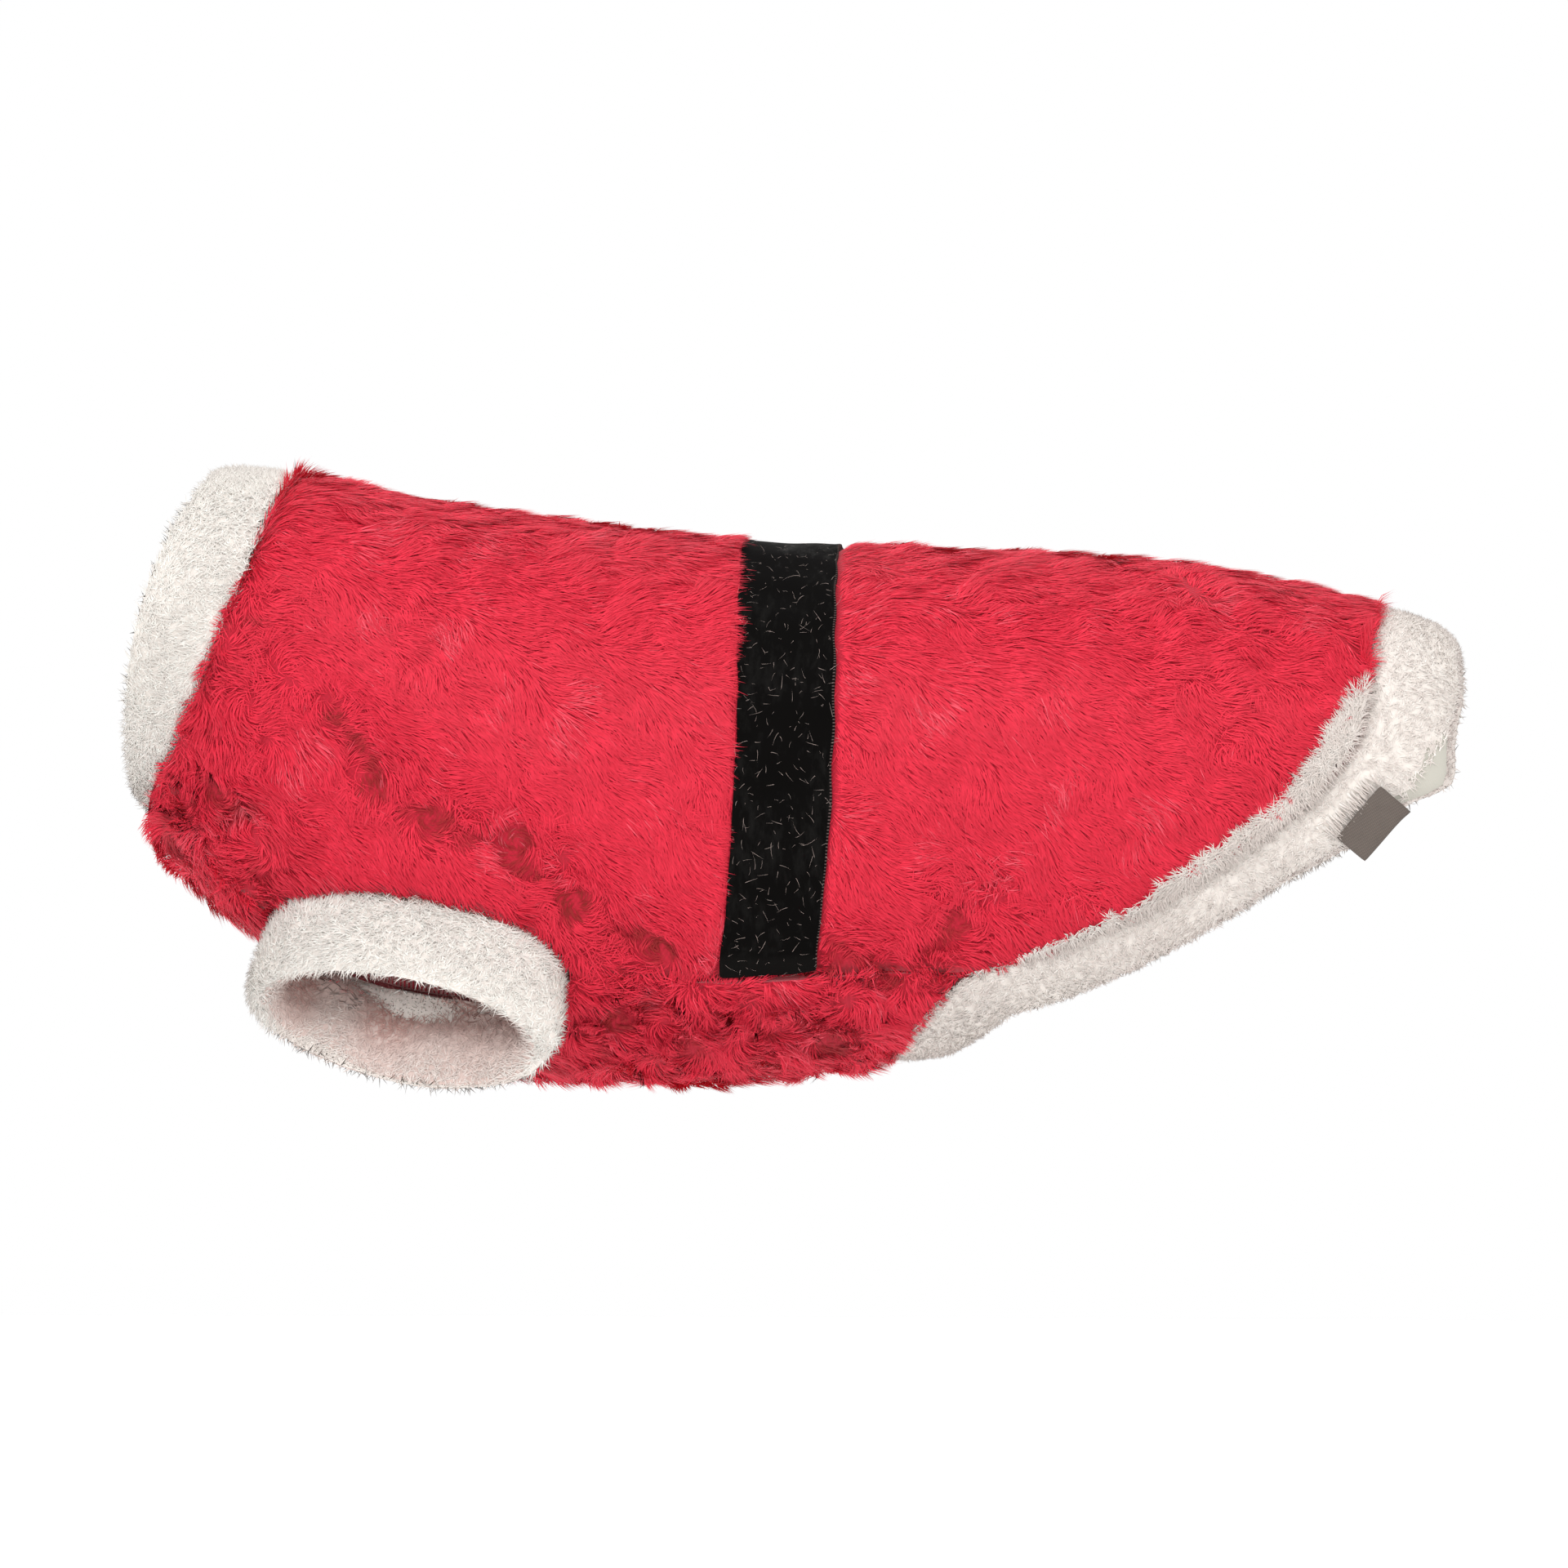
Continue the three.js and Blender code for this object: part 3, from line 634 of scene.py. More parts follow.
def scatter(obj, count, rng, spokes, least=-1.1, where=None):
    """Places spread evenly over a piece's faces that look out at least so much."""
    mesh = obj.data
    mesh.calc_loop_triangles()
    corners = np.empty(len(mesh.loop_triangles) * 3, np.int32)
    mesh.loop_triangles.foreach_get("vertices", corners)
    corners = corners.reshape(-1, 3)
    points, normals = coords(mesh), coords(mesh, "vertices", "normal")
    a, b, c = (points[corners[:, k]] for k in range(3))
    cross = np.cross(b - a, c - a)
    middles = (a + b + c) / 3
    out = dot(unit(cross), spokes(middles))[:, 0]
    weight = np.linalg.norm(cross, axis=1) * (out > least)
    if where:
        weight = weight * where(middles)
    reached = np.cumsum(weight) / weight.sum()
    which = np.searchsorted(reached, (np.arange(count) + rng.random(count)) / count)
    which = np.minimum(which, len(corners) - 1)
    r, s = np.sqrt(rng.random(count)), rng.random(count)
    shares = np.stack([1 - r, r * (1 - s), r * s], 1)[:, :, None]
    return (points[corners[which]] * shares).sum(1), unit((normals[corners[which]] * shares).sum(1))


def spaced_out(first, points, spacing):
    """The first points, then those others that keep a spacing from all kept before them."""
    kept, cells = [], {}
    for i, p in enumerate([*first, *points]):
        home = tuple(int(v // spacing) for v in p)
        near = [q for dx in (-1, 0, 1) for dy in (-1, 0, 1) for dz in (-1, 0, 1)
                for q in cells.get((home[0] + dx, home[1] + dy, home[2] + dz), ())]
        if i < len(first) or all((p - q) @ (p - q) >= spacing * spacing for q in near):
            kept.append(p)
            cells.setdefault(home, []).append(p)
    return np.array(kept)


def nearest(points, centres, count):
    """The indices of the nearest centres of each point, and how far they are."""
    tree = KDTree(len(centres))
    for i, centre in enumerate(centres):
        tree.insert(centre, i)
    tree.balance()
    found = [tree.find_n(p, count) for p in points]
    return (np.array([[f[1] for f in row] for row in found]),
            np.array([[f[2] for f in row] for row in found]))


def bunch(points, lean, size, share, rng):
    """How far each strand's tip moves towards the tip of its tuft, by a share of the way."""
    heads = rng.choice(len(points), max(4, int(len(points) * size)), replace=False)
    own, _ = nearest(points, points[heads], 1)
    head = heads[own[:, 0]]
    return (points[head] + lean[head] - points - lean) * share[:, None]


def strand_mesh(name, paint, slot, points, faces, along, edge, shade, painted_light_share, normals):
    """Many like strands as one mesh. points has a row for each strand, faces are one strand's,
    along and edge say where its points lie from root to tip and from side to side."""
    count, per = points.shape[:2]
    corners = [v for face in faces for v in face]
    loops = (np.arange(count)[:, None] * per + np.array(corners)).ravel()
    starts = np.cumsum([0] + [len(face) for face in faces[:-1]])
    mesh = bpy.data.meshes.new(name)
    mesh.vertices.add(count * per)
    mesh.loops.add(len(loops))
    mesh.polygons.add(count * len(faces))
    mesh.vertices.foreach_set("co", points.astype(np.float32).ravel())
    mesh.loops.foreach_set("vertex_index", loops.astype(np.int32))
    starts = np.arange(count)[:, None] * len(corners) + starts
    mesh.polygons.foreach_set("loop_start", starts.astype(np.int32).ravel())
    mesh.update(calc_edges=True)
    mesh.polygons.foreach_set("use_smooth", np.ones(count * len(faces), bool))
    facts = np.stack([np.repeat(shade, per), np.tile(along, count), np.repeat(painted_light_share, per)], 1)
    mesh.attributes.new("pile", "FLOAT_VECTOR", "POINT").data.foreach_set("vector", facts.astype(np.float32).ravel())
    cells = math.ceil(math.sqrt(count))
    u = (np.arange(count)[:, None] % cells + edge) / cells
    v = (np.arange(count)[:, None] // cells + 0.1 + 0.8 * along) / cells
    uv = np.stack([u, v], 2).reshape(-1, 2)[loops]
    mesh.uv_layers.new(name="OFBake").data.foreach_set("uv", uv.astype(np.float32).ravel())
    mesh.normals_split_custom_set_from_vertices(unit(normals).reshape(-1, 3).tolist())
    obj = bpy.data.objects.new(name, mesh)
    bpy.context.scene.collection.objects.link(obj)
    return dress(obj, [paint], slot)


def curls(name, paint, slot, roots, normals, flow, length, lift, width, shade, painted_light_share, rng, pull, curl=0.07, bends=2):
    """Long strands as slender leaves that rise from their roots and lie over in a bow."""
    count = len(roots)
    across = unit(np.cross(flow, normals))
    roll = rng.normal(0, 0.2, (count, 1))
    side = across * np.cos(roll) + normals * np.sin(roll)
    t = np.linspace(0, 1, bends + 1) ** 1.15
    rise = (length * np.sin(lift))[:, None] * (1 - (1 - t) ** 1.7)
    reach = (length * np.cos(lift))[:, None] * t ** 1.2
    bow = (rng.normal(0, curl, count) * length)[:, None] * t ** 2
    spine = (roots[:, None] + normals[:, None] * rise[:, :, None] + flow[:, None] * reach[:, :, None]
             + across[:, None] * bow[:, :, None] + pull[:, None] * (t ** 1.8)[None, :, None])
    wide = (width[:, None] * (0.5 - 0.34 * t ** 1.6))[:, :, None]
    left, right = (spine - side[:, None] * wide)[:, 1:-1], (spine + side[:, None] * wide)[:, 1:-1]
    pairs = np.stack([left, right], 2).reshape(count, -1, 3)
    points = np.concatenate([spine[:, :1], pairs, spine[:, -1:]], 1)
    last = 2 * bends - 1
    faces = [(0, 2, 1)] + [(k, k + 1, k + 3, k + 2) for k in range(1, last - 2, 2)] + [(last - 2, last - 1, last)]
    leaf = np.cross(right[:, :1] - left[:, :1], spine[:, -1:] - spine[:, :1])
    leaf = unit(leaf * np.sign(dot(leaf, normals[:, None])))
    along = np.concatenate([[0], np.repeat(t[1:-1], 2), [1.0]])
    own_light = (0.12 + 0.83 * (1 - smooth(np.abs(normals[:, 1]), 0.2, 0.75)))[:, None, None]
    facing = normals[:, None] * (1 - own_light) + leaf * own_light + flow[:, None] * (0.1 * along)[None, :, None]
    edge = np.concatenate([[0.5], np.tile([0.16, 0.84], bends - 1), [0.5]])
    return strand_mesh(name, paint, slot, points, faces, along, edge, shade, painted_light_share, facing)


def bristles(name, paint, slot, roots, normals, lean, width, shade, painted_light_share, rng):
    """Short strands as three-sided spikes, lit almost as the cloth's own face."""
    count = len(roots)
    ahead = unit(lean)
    one = unit(np.cross(ahead, normals + 0.3 * rng.normal(size=(count, 3))))
    two = np.cross(ahead, one)
    turn = rng.uniform(0, math.tau, count)[:, None] + np.arange(3) * math.tau / 3
    ring = one[:, None] * np.cos(turn)[:, :, None] + two[:, None] * np.sin(turn)[:, :, None]
    foot = roots[:, None] + ring * (width / 2)[:, None, None]
    points = np.concatenate([foot, (roots + lean)[:, None]], 1)
    own_light = (0.46 + 0.3 * (1 - smooth(np.abs(normals[:, 1]), 0.2, 0.7)))[:, None, None]
    facing = np.concatenate([normals[:, None] * (1 - own_light) + ring * own_light,
                             (normals * 0.7 + ahead * 0.3)[:, None]], 1)
    faces = [(0, 1, 3), (1, 2, 3), (2, 0, 3)]
    along, edge = np.array([0, 0, 0, 1.0]), np.array([0.1, 0.5, 0.9, 0.5])
    return strand_mesh(name, paint, slot, points, faces, along, edge, shade, painted_light_share, facing)


def length_setting(name, description, default):
    return bpy.props.FloatProperty(name=name, description=description, default=default, unit="LENGTH")


def count_setting(name, description, default):
    return bpy.props.IntProperty(name=name, description=description, default=default)


def colour_setting(name, description, default):
    return bpy.props.FloatVectorProperty(name=name, description=description, default=default, subtype="COLOR")


class RedPlushSettings(bpy.types.PropertyGroup):
    pile_length: length_setting("Pile length", "Length of a strand", 0.0072)
    strand_width: length_setting("Strand width", "Width of a strand at its bend", 0.00046)
    whorl_spacing: length_setting("Whorl spacing", "Least distance between whorls", 0.0125)
    back_strands: count_setting("Back strands", "Strands on the back panel", 232000)
    belly_strands: count_setting("Belly strands", "Strands on the belly panel", 44000)
    sink: length_setting("Sink", "How far the cloth lies below the pile's top", 0.0017)
    # Painted shade colour: the red pile's colour in open whorl eyes and along crease beds
    deep_colour: colour_setting("Deep colour", "Colour in the open eyes of the pile", (0.25, 0.010, 0.010))
    tip_colour: colour_setting("Tip colour", "Colour of most strands", (0.71, 0.020, 0.050))
    # Painted highlight colour of the glinting strands
    pale_colour: colour_setting("Pale colour", "Colour of the strands that catch light", (0.95, 0.20, 0.26))
    backing_colour: colour_setting("Backing colour", "Colour of the cloth's inside", (0.55, 0.11, 0.13))


class WhitePlushSettings(bpy.types.PropertyGroup):
    pile_length: length_setting("Pile length", "Length of a strand", 0.0036)
    strand_width: length_setting("Strand width", "Width of a strand at its root", 0.00046)
    density: bpy.props.FloatProperty(name="Density", description="Strands on a square millimetre", default=1.6)
    over_red: count_setting("Over the red", "Strands of the hem that lie over the back panel's edge", 9000)
    sink: length_setting("Sink", "How far the cloth lies below the pile's top", 0.0021)
    # Painted shade colour for the white pile inside the tubes and beside the red, tinted pink as painted reflection of
    # the red cloth
    deep_colour: colour_setting("Deep colour", "Colour inside the tubes, beside the red", (0.60, 0.35, 0.31))
    # The hem's smooth lining: its own smooth backing, painted a grey that holds painted shade
    lining_colour: colour_setting("Lining colour", "Colour of the hem's smooth lining", (0.52, 0.50, 0.44))
    tip_colour: colour_setting("Tip colour", "Colour of most strands", (0.86, 0.80, 0.745))


class RibbonSettings(bpy.types.PropertyGroup):
    colour: colour_setting("Velvet colour", "Colour of the belt", (0.0022, 0.0019, 0.0017))
    turned_end: length_setting("Turned end", "Length that is turned under at each end", 0.0065)
    lint: count_setting("Lint", "Loose pale hairs on the velvet", 760)
    label_colour: colour_setting("Label colour", "Colour of the woven label", (0.105, 0.083, 0.070))


class SeamSettings(bpy.types.PropertyGroup):
    pitch: length_setting("Stitch pitch", "Distance between overlock stitches", 0.0013)
    allowance: length_setting("Allowance", "Height of the seam allowance inside", 0.0034)
    thread_colour: colour_setting("Thread colour", "Colour of the overlock thread", (0.42, 0.012, 0.03))


class StudioSettings(bpy.types.PropertyGroup):
    lens: bpy.props.FloatProperty(name="Lens", description="Focal length", default=300, unit="CAMERA")
    frame_width: length_setting("Frame width", "Width that the photograph covers", 0.4512)
    azimuth: bpy.props.FloatProperty(name="Azimuth", description="Turn of the camera towards the tail",
                                     default=math.radians(5), subtype="ANGLE")
    floor_height: length_setting("Floor height", "Height of the studio's floor", -0.32)
    key_power: bpy.props.FloatProperty(name="Key power", description="Power of the large lamp in watts", default=23)


def thinned(count):
    return int(count * (0.35 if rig.quick() else 1))


def sink_faces(obj, depth, keep, sewn, spokes):
    """Lowers a piece's faces under its pile, less where keep says so. Where it is sewn, they
    sink straight towards each other, so that no seam opens. Both run from 0 to 1."""
    points, normals = coords(obj.data), coords(obj.data, "vertices", "normal")
    out = spokes(points)
    straight = out * np.sign(dot(normals, out))
    ways = unit(normals * (1 - sewn)[:, None] + straight * sewn[:, None])
    put_coords(obj.data, points - ways * (depth * (1 - keep))[:, None])


class COAT_OT_red_cloth(bpy.types.Operator):
    """Makes the cloth of the back and belly panels, under their pile"""
    bl_idname = "coat.red_cloth"
    bl_label = "Red cloth"

    def execute(self, context):
        red = context.scene.coat_red
        darker, lighter = ([c * k for c in red.tip_colour] for k in (0.5, 0.8))
        ground = cloth_paint("red_ground", darker, lighter, 0.0016)
        backing = cloth_paint("red_backing", [c * 0.7 for c in red.backing_colour], red.backing_colour, 0.0014)
        under_trim = cloth_paint("trim_ground", [0.8, 0.76, 0.71], [0.84, 0.8, 0.75], 0.0018, 0.00003)
        belt, hem = tree_of("belt"), tree_of("hem_trim")
        for node, name in (("back_panel", "back_cloth"), ("belly_panel", "belly_cloth")):
            cloth = soft_copy(node, name, 1, 0.85)
            points, normals = coords(cloth.data), coords(cloth.data, "vertices", "normal")
            inside = dot(normals, coat_spokes(points))[:, 0] < 0.25
            pressed = 1 - smooth(distances(points, belt), 0.0012, 0.0048)
            trimmed = smooth(past_trim(points), 0, 2) * (distances(points, hem) < TRIM_REACH) * (node == "back_panel")
            keep = np.maximum.reduce([inside, pressed, trimmed])
            sink_faces(cloth, red.sink, keep, np.ones(len(points)), coat_spokes)
            put_coords(cloth.data, creased(coords(cloth.data)))
            dress(cloth, [ground, backing, under_trim], "red_plush", node)
            middles, faces = coords(cloth.data, "polygons", "center"), coords(cloth.data, "polygons", "normal")
            out = dot(faces, coat_spokes(middles))[:, 0]
            kind = (out < -0.2).astype(np.int32)
            if node == "back_panel":
                kind[(out >= -0.2) & (past_trim(middles) > 1) & (distances(middles, hem) < TRIM_REACH)] = 2
            cloth.data.polygons.foreach_set("material_index", kind)
        return {"FINISHED"}


class COAT_OT_white_cloth(bpy.types.Operator):
    """Makes the cloth of the collar, leg cuffs and hem trim, under their pile"""
    bl_idname = "coat.white_cloth"
    bl_label = "White cloth"

    def execute(self, context):
        white = context.scene.coat_white
        ground = cloth_paint("white_ground", [c * 0.95 for c in white.tip_colour], white.tip_colour, 0.0018, 0.00003)
        # The cuffs' inner faces are painted halfway to the white's shade colour: painted shade, tinted pink as painted
        # reflection of the red cloth
        between = [(a + b) / 2 for a, b in zip(white.deep_colour, white.tip_colour)]
        inner = cloth_paint("cuff_inside", [c * 0.97 for c in between], between, 0.0018, 0.00003)
        # The lining's grey is its own backing colour with painted shade in it
        darker = [c * 0.97 for c in white.lining_colour]
        lining = cloth_paint("hem_lining", darker, white.lining_colour, 0.0009, 0.00002)
        panels = tree_of("back_panel", "belly_panel")
        for node, name, spokes in (("collar", "collar_cloth", coat_spokes),
                                   ("leg_cuff_left", "left_cuff_cloth", cuff_spokes(-1)),
                                   ("leg_cuff_right", "right_cuff_cloth", cuff_spokes(1)),
                                   ("hem_trim", "hem_cloth", coat_spokes)):
            cloth = soft_copy(node, name, 1)
            sewn = 1 - smooth(distances(coords(cloth.data), panels), 0.001, 0.007)
            sink_faces(cloth, white.sink, sewn * 0, sewn, spokes)
            put_coords(cloth.data, creased(coords(cloth.data)))
            dress(cloth, [ground, inner, lining], "white_plush", node)
            middles, faces = coords(cloth.data, "polygons", "center"), coords(cloth.data, "polygons", "normal")
            kind = ((dot(faces, spokes(middles))[:, 0] < -0.2) & ("cuff" in name)).astype(np.int32)
            if node == "hem_trim":
                kind[on_lining(middles)] = 2
            cloth.data.polygons.foreach_set("material_index", kind)
        return {"FINISHED"}


def ribbon_places(points):
    """Where points lie on the belt: across it from its middle line, and along it from the top."""
    low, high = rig.box("belt")
    down = np.clip((high.z + 0.001 - points[:, 2]) / 0.1562, 0, 1)
    turn = np.arccos(1 - 2 * down)
    across = points[:, 0] - (0.002 - 0.01 * down + 0.0065 * np.sin(turn) ** 2)
    return across, turn * 0.073 * np.sign(points[:, 1])


class COAT_OT_belt(bpy.types.Operator):
    """Makes the black velvet ribbon, with selvages and turned ends"""
    bl_idname = "coat.belt"
    bl_label = "Velvet belt"

    def execute(self, context):
        ribbon = context.scene.coat_ribbon
        belt = soft_copy("belt", "belt_ribbon", 3, 0.9)
        points = coords(belt.data)
        across, along = ribbon_places(points)
        spokes = coat_spokes(points)
        top = np.abs(along).max()
        end = smooth(np.abs(along), top - ribbon.turned_end - 0.0006, top - ribbon.turned_end + 0.0006)
        outer = dot(coords(belt.data, "vertices", "normal"), spokes)[:, 0] > 0.2
        edge = smooth(np.abs(across), 0.0105, 0.0133)
        lift = outer * (end * 0.9 + edge * 0.35 * (1 + np.sin(along / 0.0021)) + 0.45 * waves(points, 0.016, 11))
        pucker = np.sign(across) * edge * 0.45 * waves(points, 0.012, 12)
        moved = points + spokes * (lift * MM)[:, None]
        moved[:, 0] += pucker * MM
        put_coords(belt.data, creased(moved))
        facts = np.stack([across, along, end], 1).astype(np.float32).ravel()
        belt.data.attributes.new("ribbon", "FLOAT_VECTOR", "POINT").data.foreach_set("vector", facts)
        dress(belt, [velvet_paint(ribbon.colour)], "black_velvet", "belt")
        return {"FINISHED"}


class COAT_OT_label(bpy.types.Operator):
    """Makes the bare woven label on the hem"""
    bl_idname = "coat.label"
    bl_label = "Woven label"

    def execute(self, context):
        tape = soft_copy("label", "label_tape", 2, 0.95)
        put_coords(tape.data, creased(coords(tape.data)))
        dress(tape, [tape_paint(context.scene.coat_ribbon.label_colour)], "woven_label", "label")
        return {"FINISHED"}


def seam_lines(node):
    """The inner rims of a panel, each as a closed line of points in order."""
    rim = merged_copy(node, "rim_" + node)
    bpy.ops.object.mode_set(mode="OBJECT")
    skin = bmesh.new()
    skin.from_mesh(rim.data)
    bpy.data.objects.remove(rim)

    def faces_in(face):
        middle = np.array(face.calc_center_median())[None]
        return float(dot(np.array(face.normal)[None], coat_spokes(middle))[0, 0]) < -0.5
    border = {}
    for edge in skin.edges:
        if len(edge.link_faces) == 2 and edge.calc_face_angle(0) > math.radians(50) \
                and sum(map(faces_in, edge.link_faces)) == 1:
            for a, b in (edge.verts, reversed(edge.verts)):
                border.setdefault(a.index, []).append(b.index)
    skin.verts.ensure_lookup_table()
    lines, left = [], set(border)
    while left:
        line = [min(left)]
        left.discard(line[0])
        while True:
            onward = [v for v in border[line[-1]] if v in left]
            if not onward:
                break
            line.append(onward[0])
            left.discard(onward[0])
        if len(line) > 8:
            lines.append(np.array([skin.verts[v].co[:] for v in line]))
    skin.free()
    return lines


def even_line(line, step, closed):
    """A line's points set at even steps."""
    points = np.vstack([line, line[:1]]) if closed else line
    reached = np.append(0, np.cumsum(np.linalg.norm(np.diff(points, axis=0), axis=1)))
    count = max(3, int(reached[-1] / step))
    stops = np.linspace(0, reached[-1], count, endpoint=not closed)
    return np.stack([np.interp(stops, reached, points[:, k]) for k in range(3)], 1)


def sweep(outlines, closed):
    """Faces that join outlines of points one after the other into a tube."""
    count, size = outlines.shape[:2]
    faces = []
    for i in range(count if closed else count - 1):
        after = (i + 1) % count
        faces += [(i * size + j, i * size + (j + 1) % size, after * size + (j + 1) % size, after * size + j)
                  for j in range(size)]
    if not closed:
        faces += [tuple(range(size - 1, -1, -1)), tuple((count - 1) * size + j for j in range(size))]
    return faces


def mesh_piece(name, parts):
    """One object from several parts of points and faces, with its faces turned out."""
    points, faces = [], []
    for part_points, part_faces in parts:
        start = sum(map(len, points))
        points.append(part_points)
        faces += [tuple(v + start for v in face) for face in part_faces]
    mesh = bpy.data.meshes.new(name)
    mesh.from_pydata(np.concatenate(points).tolist(), [], faces)
    obj = bpy.data.objects.new(name, mesh)
    bpy.context.scene.collection.objects.link(obj)
    pick_only(obj)
    bpy.ops.object.mode_set(mode="EDIT")
    bpy.ops.mesh.select_all(action="SELECT")
    bpy.ops.mesh.normals_make_consistent(inside=False)
    bpy.ops.object.mode_set(mode="OBJECT")
    bpy.ops.object.shade_smooth()
    return obj


class COAT_OT_seams(bpy.types.Operator):
    """Makes the overlocked seam allowances inside the coat"""
    bl_idname = "coat.seams"
    bl_label = "Overlock seams"

    def execute(self, context):
        seam = context.scene.coat_seam
        back = [even_line(line, SEAM_STEP, True) for line in seam_lines("back_panel")]
        taken = np.concatenate(back)
        runs = [(line, True) for line in back]
        for line in seam_lines("belly_panel"):
            fine = even_line(line, SEAM_STEP, True)
            _, gap = nearest(fine, taken, 1)
            free = gap[:, 0] > 0.004
            first = int(np.argmin(free))
            fine, free = np.roll(fine, -first, 0), np.roll(free, -first)
            for part in np.split(np.arange(len(fine)), np.flatnonzero(np.diff(free.astype(int))) + 1):
                if free[part[0]] and len(part) > 4:
                    runs.append((fine[part], False))
        folds, loops = [], []
        for line, closed in runs:
            line = creased(line)
            inwards = -coat_spokes(line)
            ahead = unit(np.roll(line, -1, 0) - np.roll(line, 1, 0))
            ahead[[0, -1]] = ahead[[1, -2]] if not closed else ahead[[0, -1]]
            side = unit(np.cross(ahead, inwards))
            tall, foot, top = seam.allowance, side * FOLD_HALF, side * FOLD_HALF * 0.8
            sunk, risen = line - inwards * 0.0006, line + inwards * tall
            outlines = np.stack([sunk - foot, sunk + foot, risen + top, risen - top], 1)
            folds.append((outlines.reshape(-1, 3), sweep(outlines, closed)))
            stops = np.arange(0, len(line) - 1, seam.pitch / SEAM_STEP)
            mix = [np.stack([np.interp(stops, np.arange(len(line)), v[:, k]) for k in range(3)], 1)
                   for v in (line, inwards, ahead, side)]
            loops += self.stitches(*mix, tall)
        allowance = mesh_piece("seam_allowance", folds)
        cloth = cloth_paint("seam_cloth", (0.42, 0.16, 0.16), (0.62, 0.36, 0.34), 0.0012)
        dress(allowance, [cloth], "red_plush")
        thread = Paint("overlock_thread", Specular_IOR_Level=0.35, Sheen_Weight=0.2)
        twist = (thread.noise(0.0005, 1) * 0.6 + thread.noise(0.006) * 0.5).clamped()
        colours = [rgba([c * k for c in seam.thread_colour]) for k in (0.6, 1.5)]
        paint = thread.finish(Base_Color=thread.mix(*colours, twist), Roughness=0.7,
                              Normal=thread.bump(twist, 0.00012))
        dress(mesh_piece("overlock_stitches", loops), [paint], "red_plush")
        return {"FINISHED"}

    def stitches(self, spots, inwards, ahead, side, tall):
        """One loop of thread round the allowance at each spot, a little aslant."""
        made = []
        corners = ((-1, -0.1), (-1.05, 0.55), (-0.6, 1.06), (0.6, 1.06), (1.05, 0.55), (1, -0.1))
        for p, n, a, s in zip(spots, inwards, ahead, side):
            spine = np.array([p + s * x * 0.0009 + n * y * tall + a * (x * 0.00035) for x, y in corners])
            outlines = np.stack([spine + s * dx + a * da + n * dn for dx, da, dn in
                                 ((0.00022, 0.0003, 0), (0, -0.0003, 0.0002), (-0.00022, 0, -0.0002))], 1)
            made.append((outlines.reshape(-1, 3), sweep(outlines, False)))
        return made


def parting_and_painted_shade(points, tousle):
    """Where the pile parts and shows its depth, as fewer strands and as painted shade in their colour: irregular, and
    most where it is tousled.
    """
    ragged = waves(points, 0.0105, 51, 9) + 0.5 * waves(points, 0.0045, 53, 9)
    dark = 0.66 * smooth(0.85 * tousle + 0.6 * ragged, 0.84, 1.2)
    dark = np.maximum(dark, 0.22 * smooth(waves(points, 0.0075, 52, 9), 0.5, 0.8))
    # Painted shade along the beds of the creases
    for crease in CREASES:
        bed = along_crease(points, crease, 0.8) * min(1, max(0, crease["depth"] / 2.4))
        dark = np.maximum(dark, 0.85 * smooth(0.9 * bed + 0.45 * ragged, 0.58, 0.98))
    seen = points[:, [0, 2]] / MM
    # Painted shade in the eyes of the whorls
    for row in WHORLS:
        near = np.linalg.norm(seen - (row["x"], row["z"]), axis=1)
        pit = row["open"] * np.exp(-(near / 6) ** 2) * (points[:, 1] < 0)
        dark = np.maximum(dark, 0.92 * row["open"] * smooth(pit + 0.35 * ragged, 0.38, 0.75))
    return dark


def whorled(points, normals, spacing, rng):
    """How the curly pile lies: its direction, the way each strand bows, how near each place
    is to a whorl's border from 0 at its eye to 1, and how tousled it is there."""
    seen = np.array([[row["x"], row["z"]] for row in WHORLS]) * MM
    left = points[points[:, 1] < 0]
    first = [left[np.argmin(((left[:, [0, 2]] - place) ** 2).sum(1))] for place in seen]
    centres = spaced_out(first, points[rng.permutation(len(points))[:12000]], spacing)
    more = len(centres) - len(first)
    turn = np.append([row["turn"] for row in WHORLS], rng.choice([-1.0, 1.0], more))
    strength = np.append([0.5 + row["open"] for row in WHORLS], rng.uniform(0.3, 1.1, more))
    warped = points + 0.0022 * np.stack([waves(points, 0.009, k) for k in (24, 25, 26)], 1)
    who, far = nearest(warped, centres, 2)
    own, far, border = who[:, 0], far[:, 0], far[:, 0] / np.maximum(far.sum(1), 1e-9) * 2
    away = warped - centres[own]
    away = unit(away - dot(away, normals) * normals)
    tousle = tousled(points)
    swirl = np.radians(84 - 45 * smooth(border, 0.2, 1) + rng.normal(0, 11, len(points)))[:, None]
    turned = away * np.cos(swirl) + np.cross(normals, away) * np.sin(swirl) * turn[own][:, None]
    ridge = smooth(coat_spokes(points)[:, 2], 0.4, 0.85)[:, None]
    drift = np.array([0.8, 0, -0.75]) * (1 - ridge) + np.array([0.75, 0, 0]) * ridge
    nap = drift + 0.75 * np.stack([waves(points, 0.021, k) for k in (21, 22, 23)], 1)
    nap = unit(nap - dot(nap, normals) * normals)
    weight = np.clip(strength[own] * (0.3 + 0.7 * tousle), 0.1, 1)
    weight *= tousle + (1 - tousle) * smooth(border, 0.05, 0.6)
    flow = turned * weight[:, None] + nap * (1.1 - weight)[:, None] + 0.12 * rng.normal(size=points.shape)
    flow = unit(flow - dot(flow, normals) * normals)
    bow = -away * (weight * np.minimum(0.32, 0.003 / np.maximum(far, 0.001)))[:, None]
    return flow, bow, border, tousle


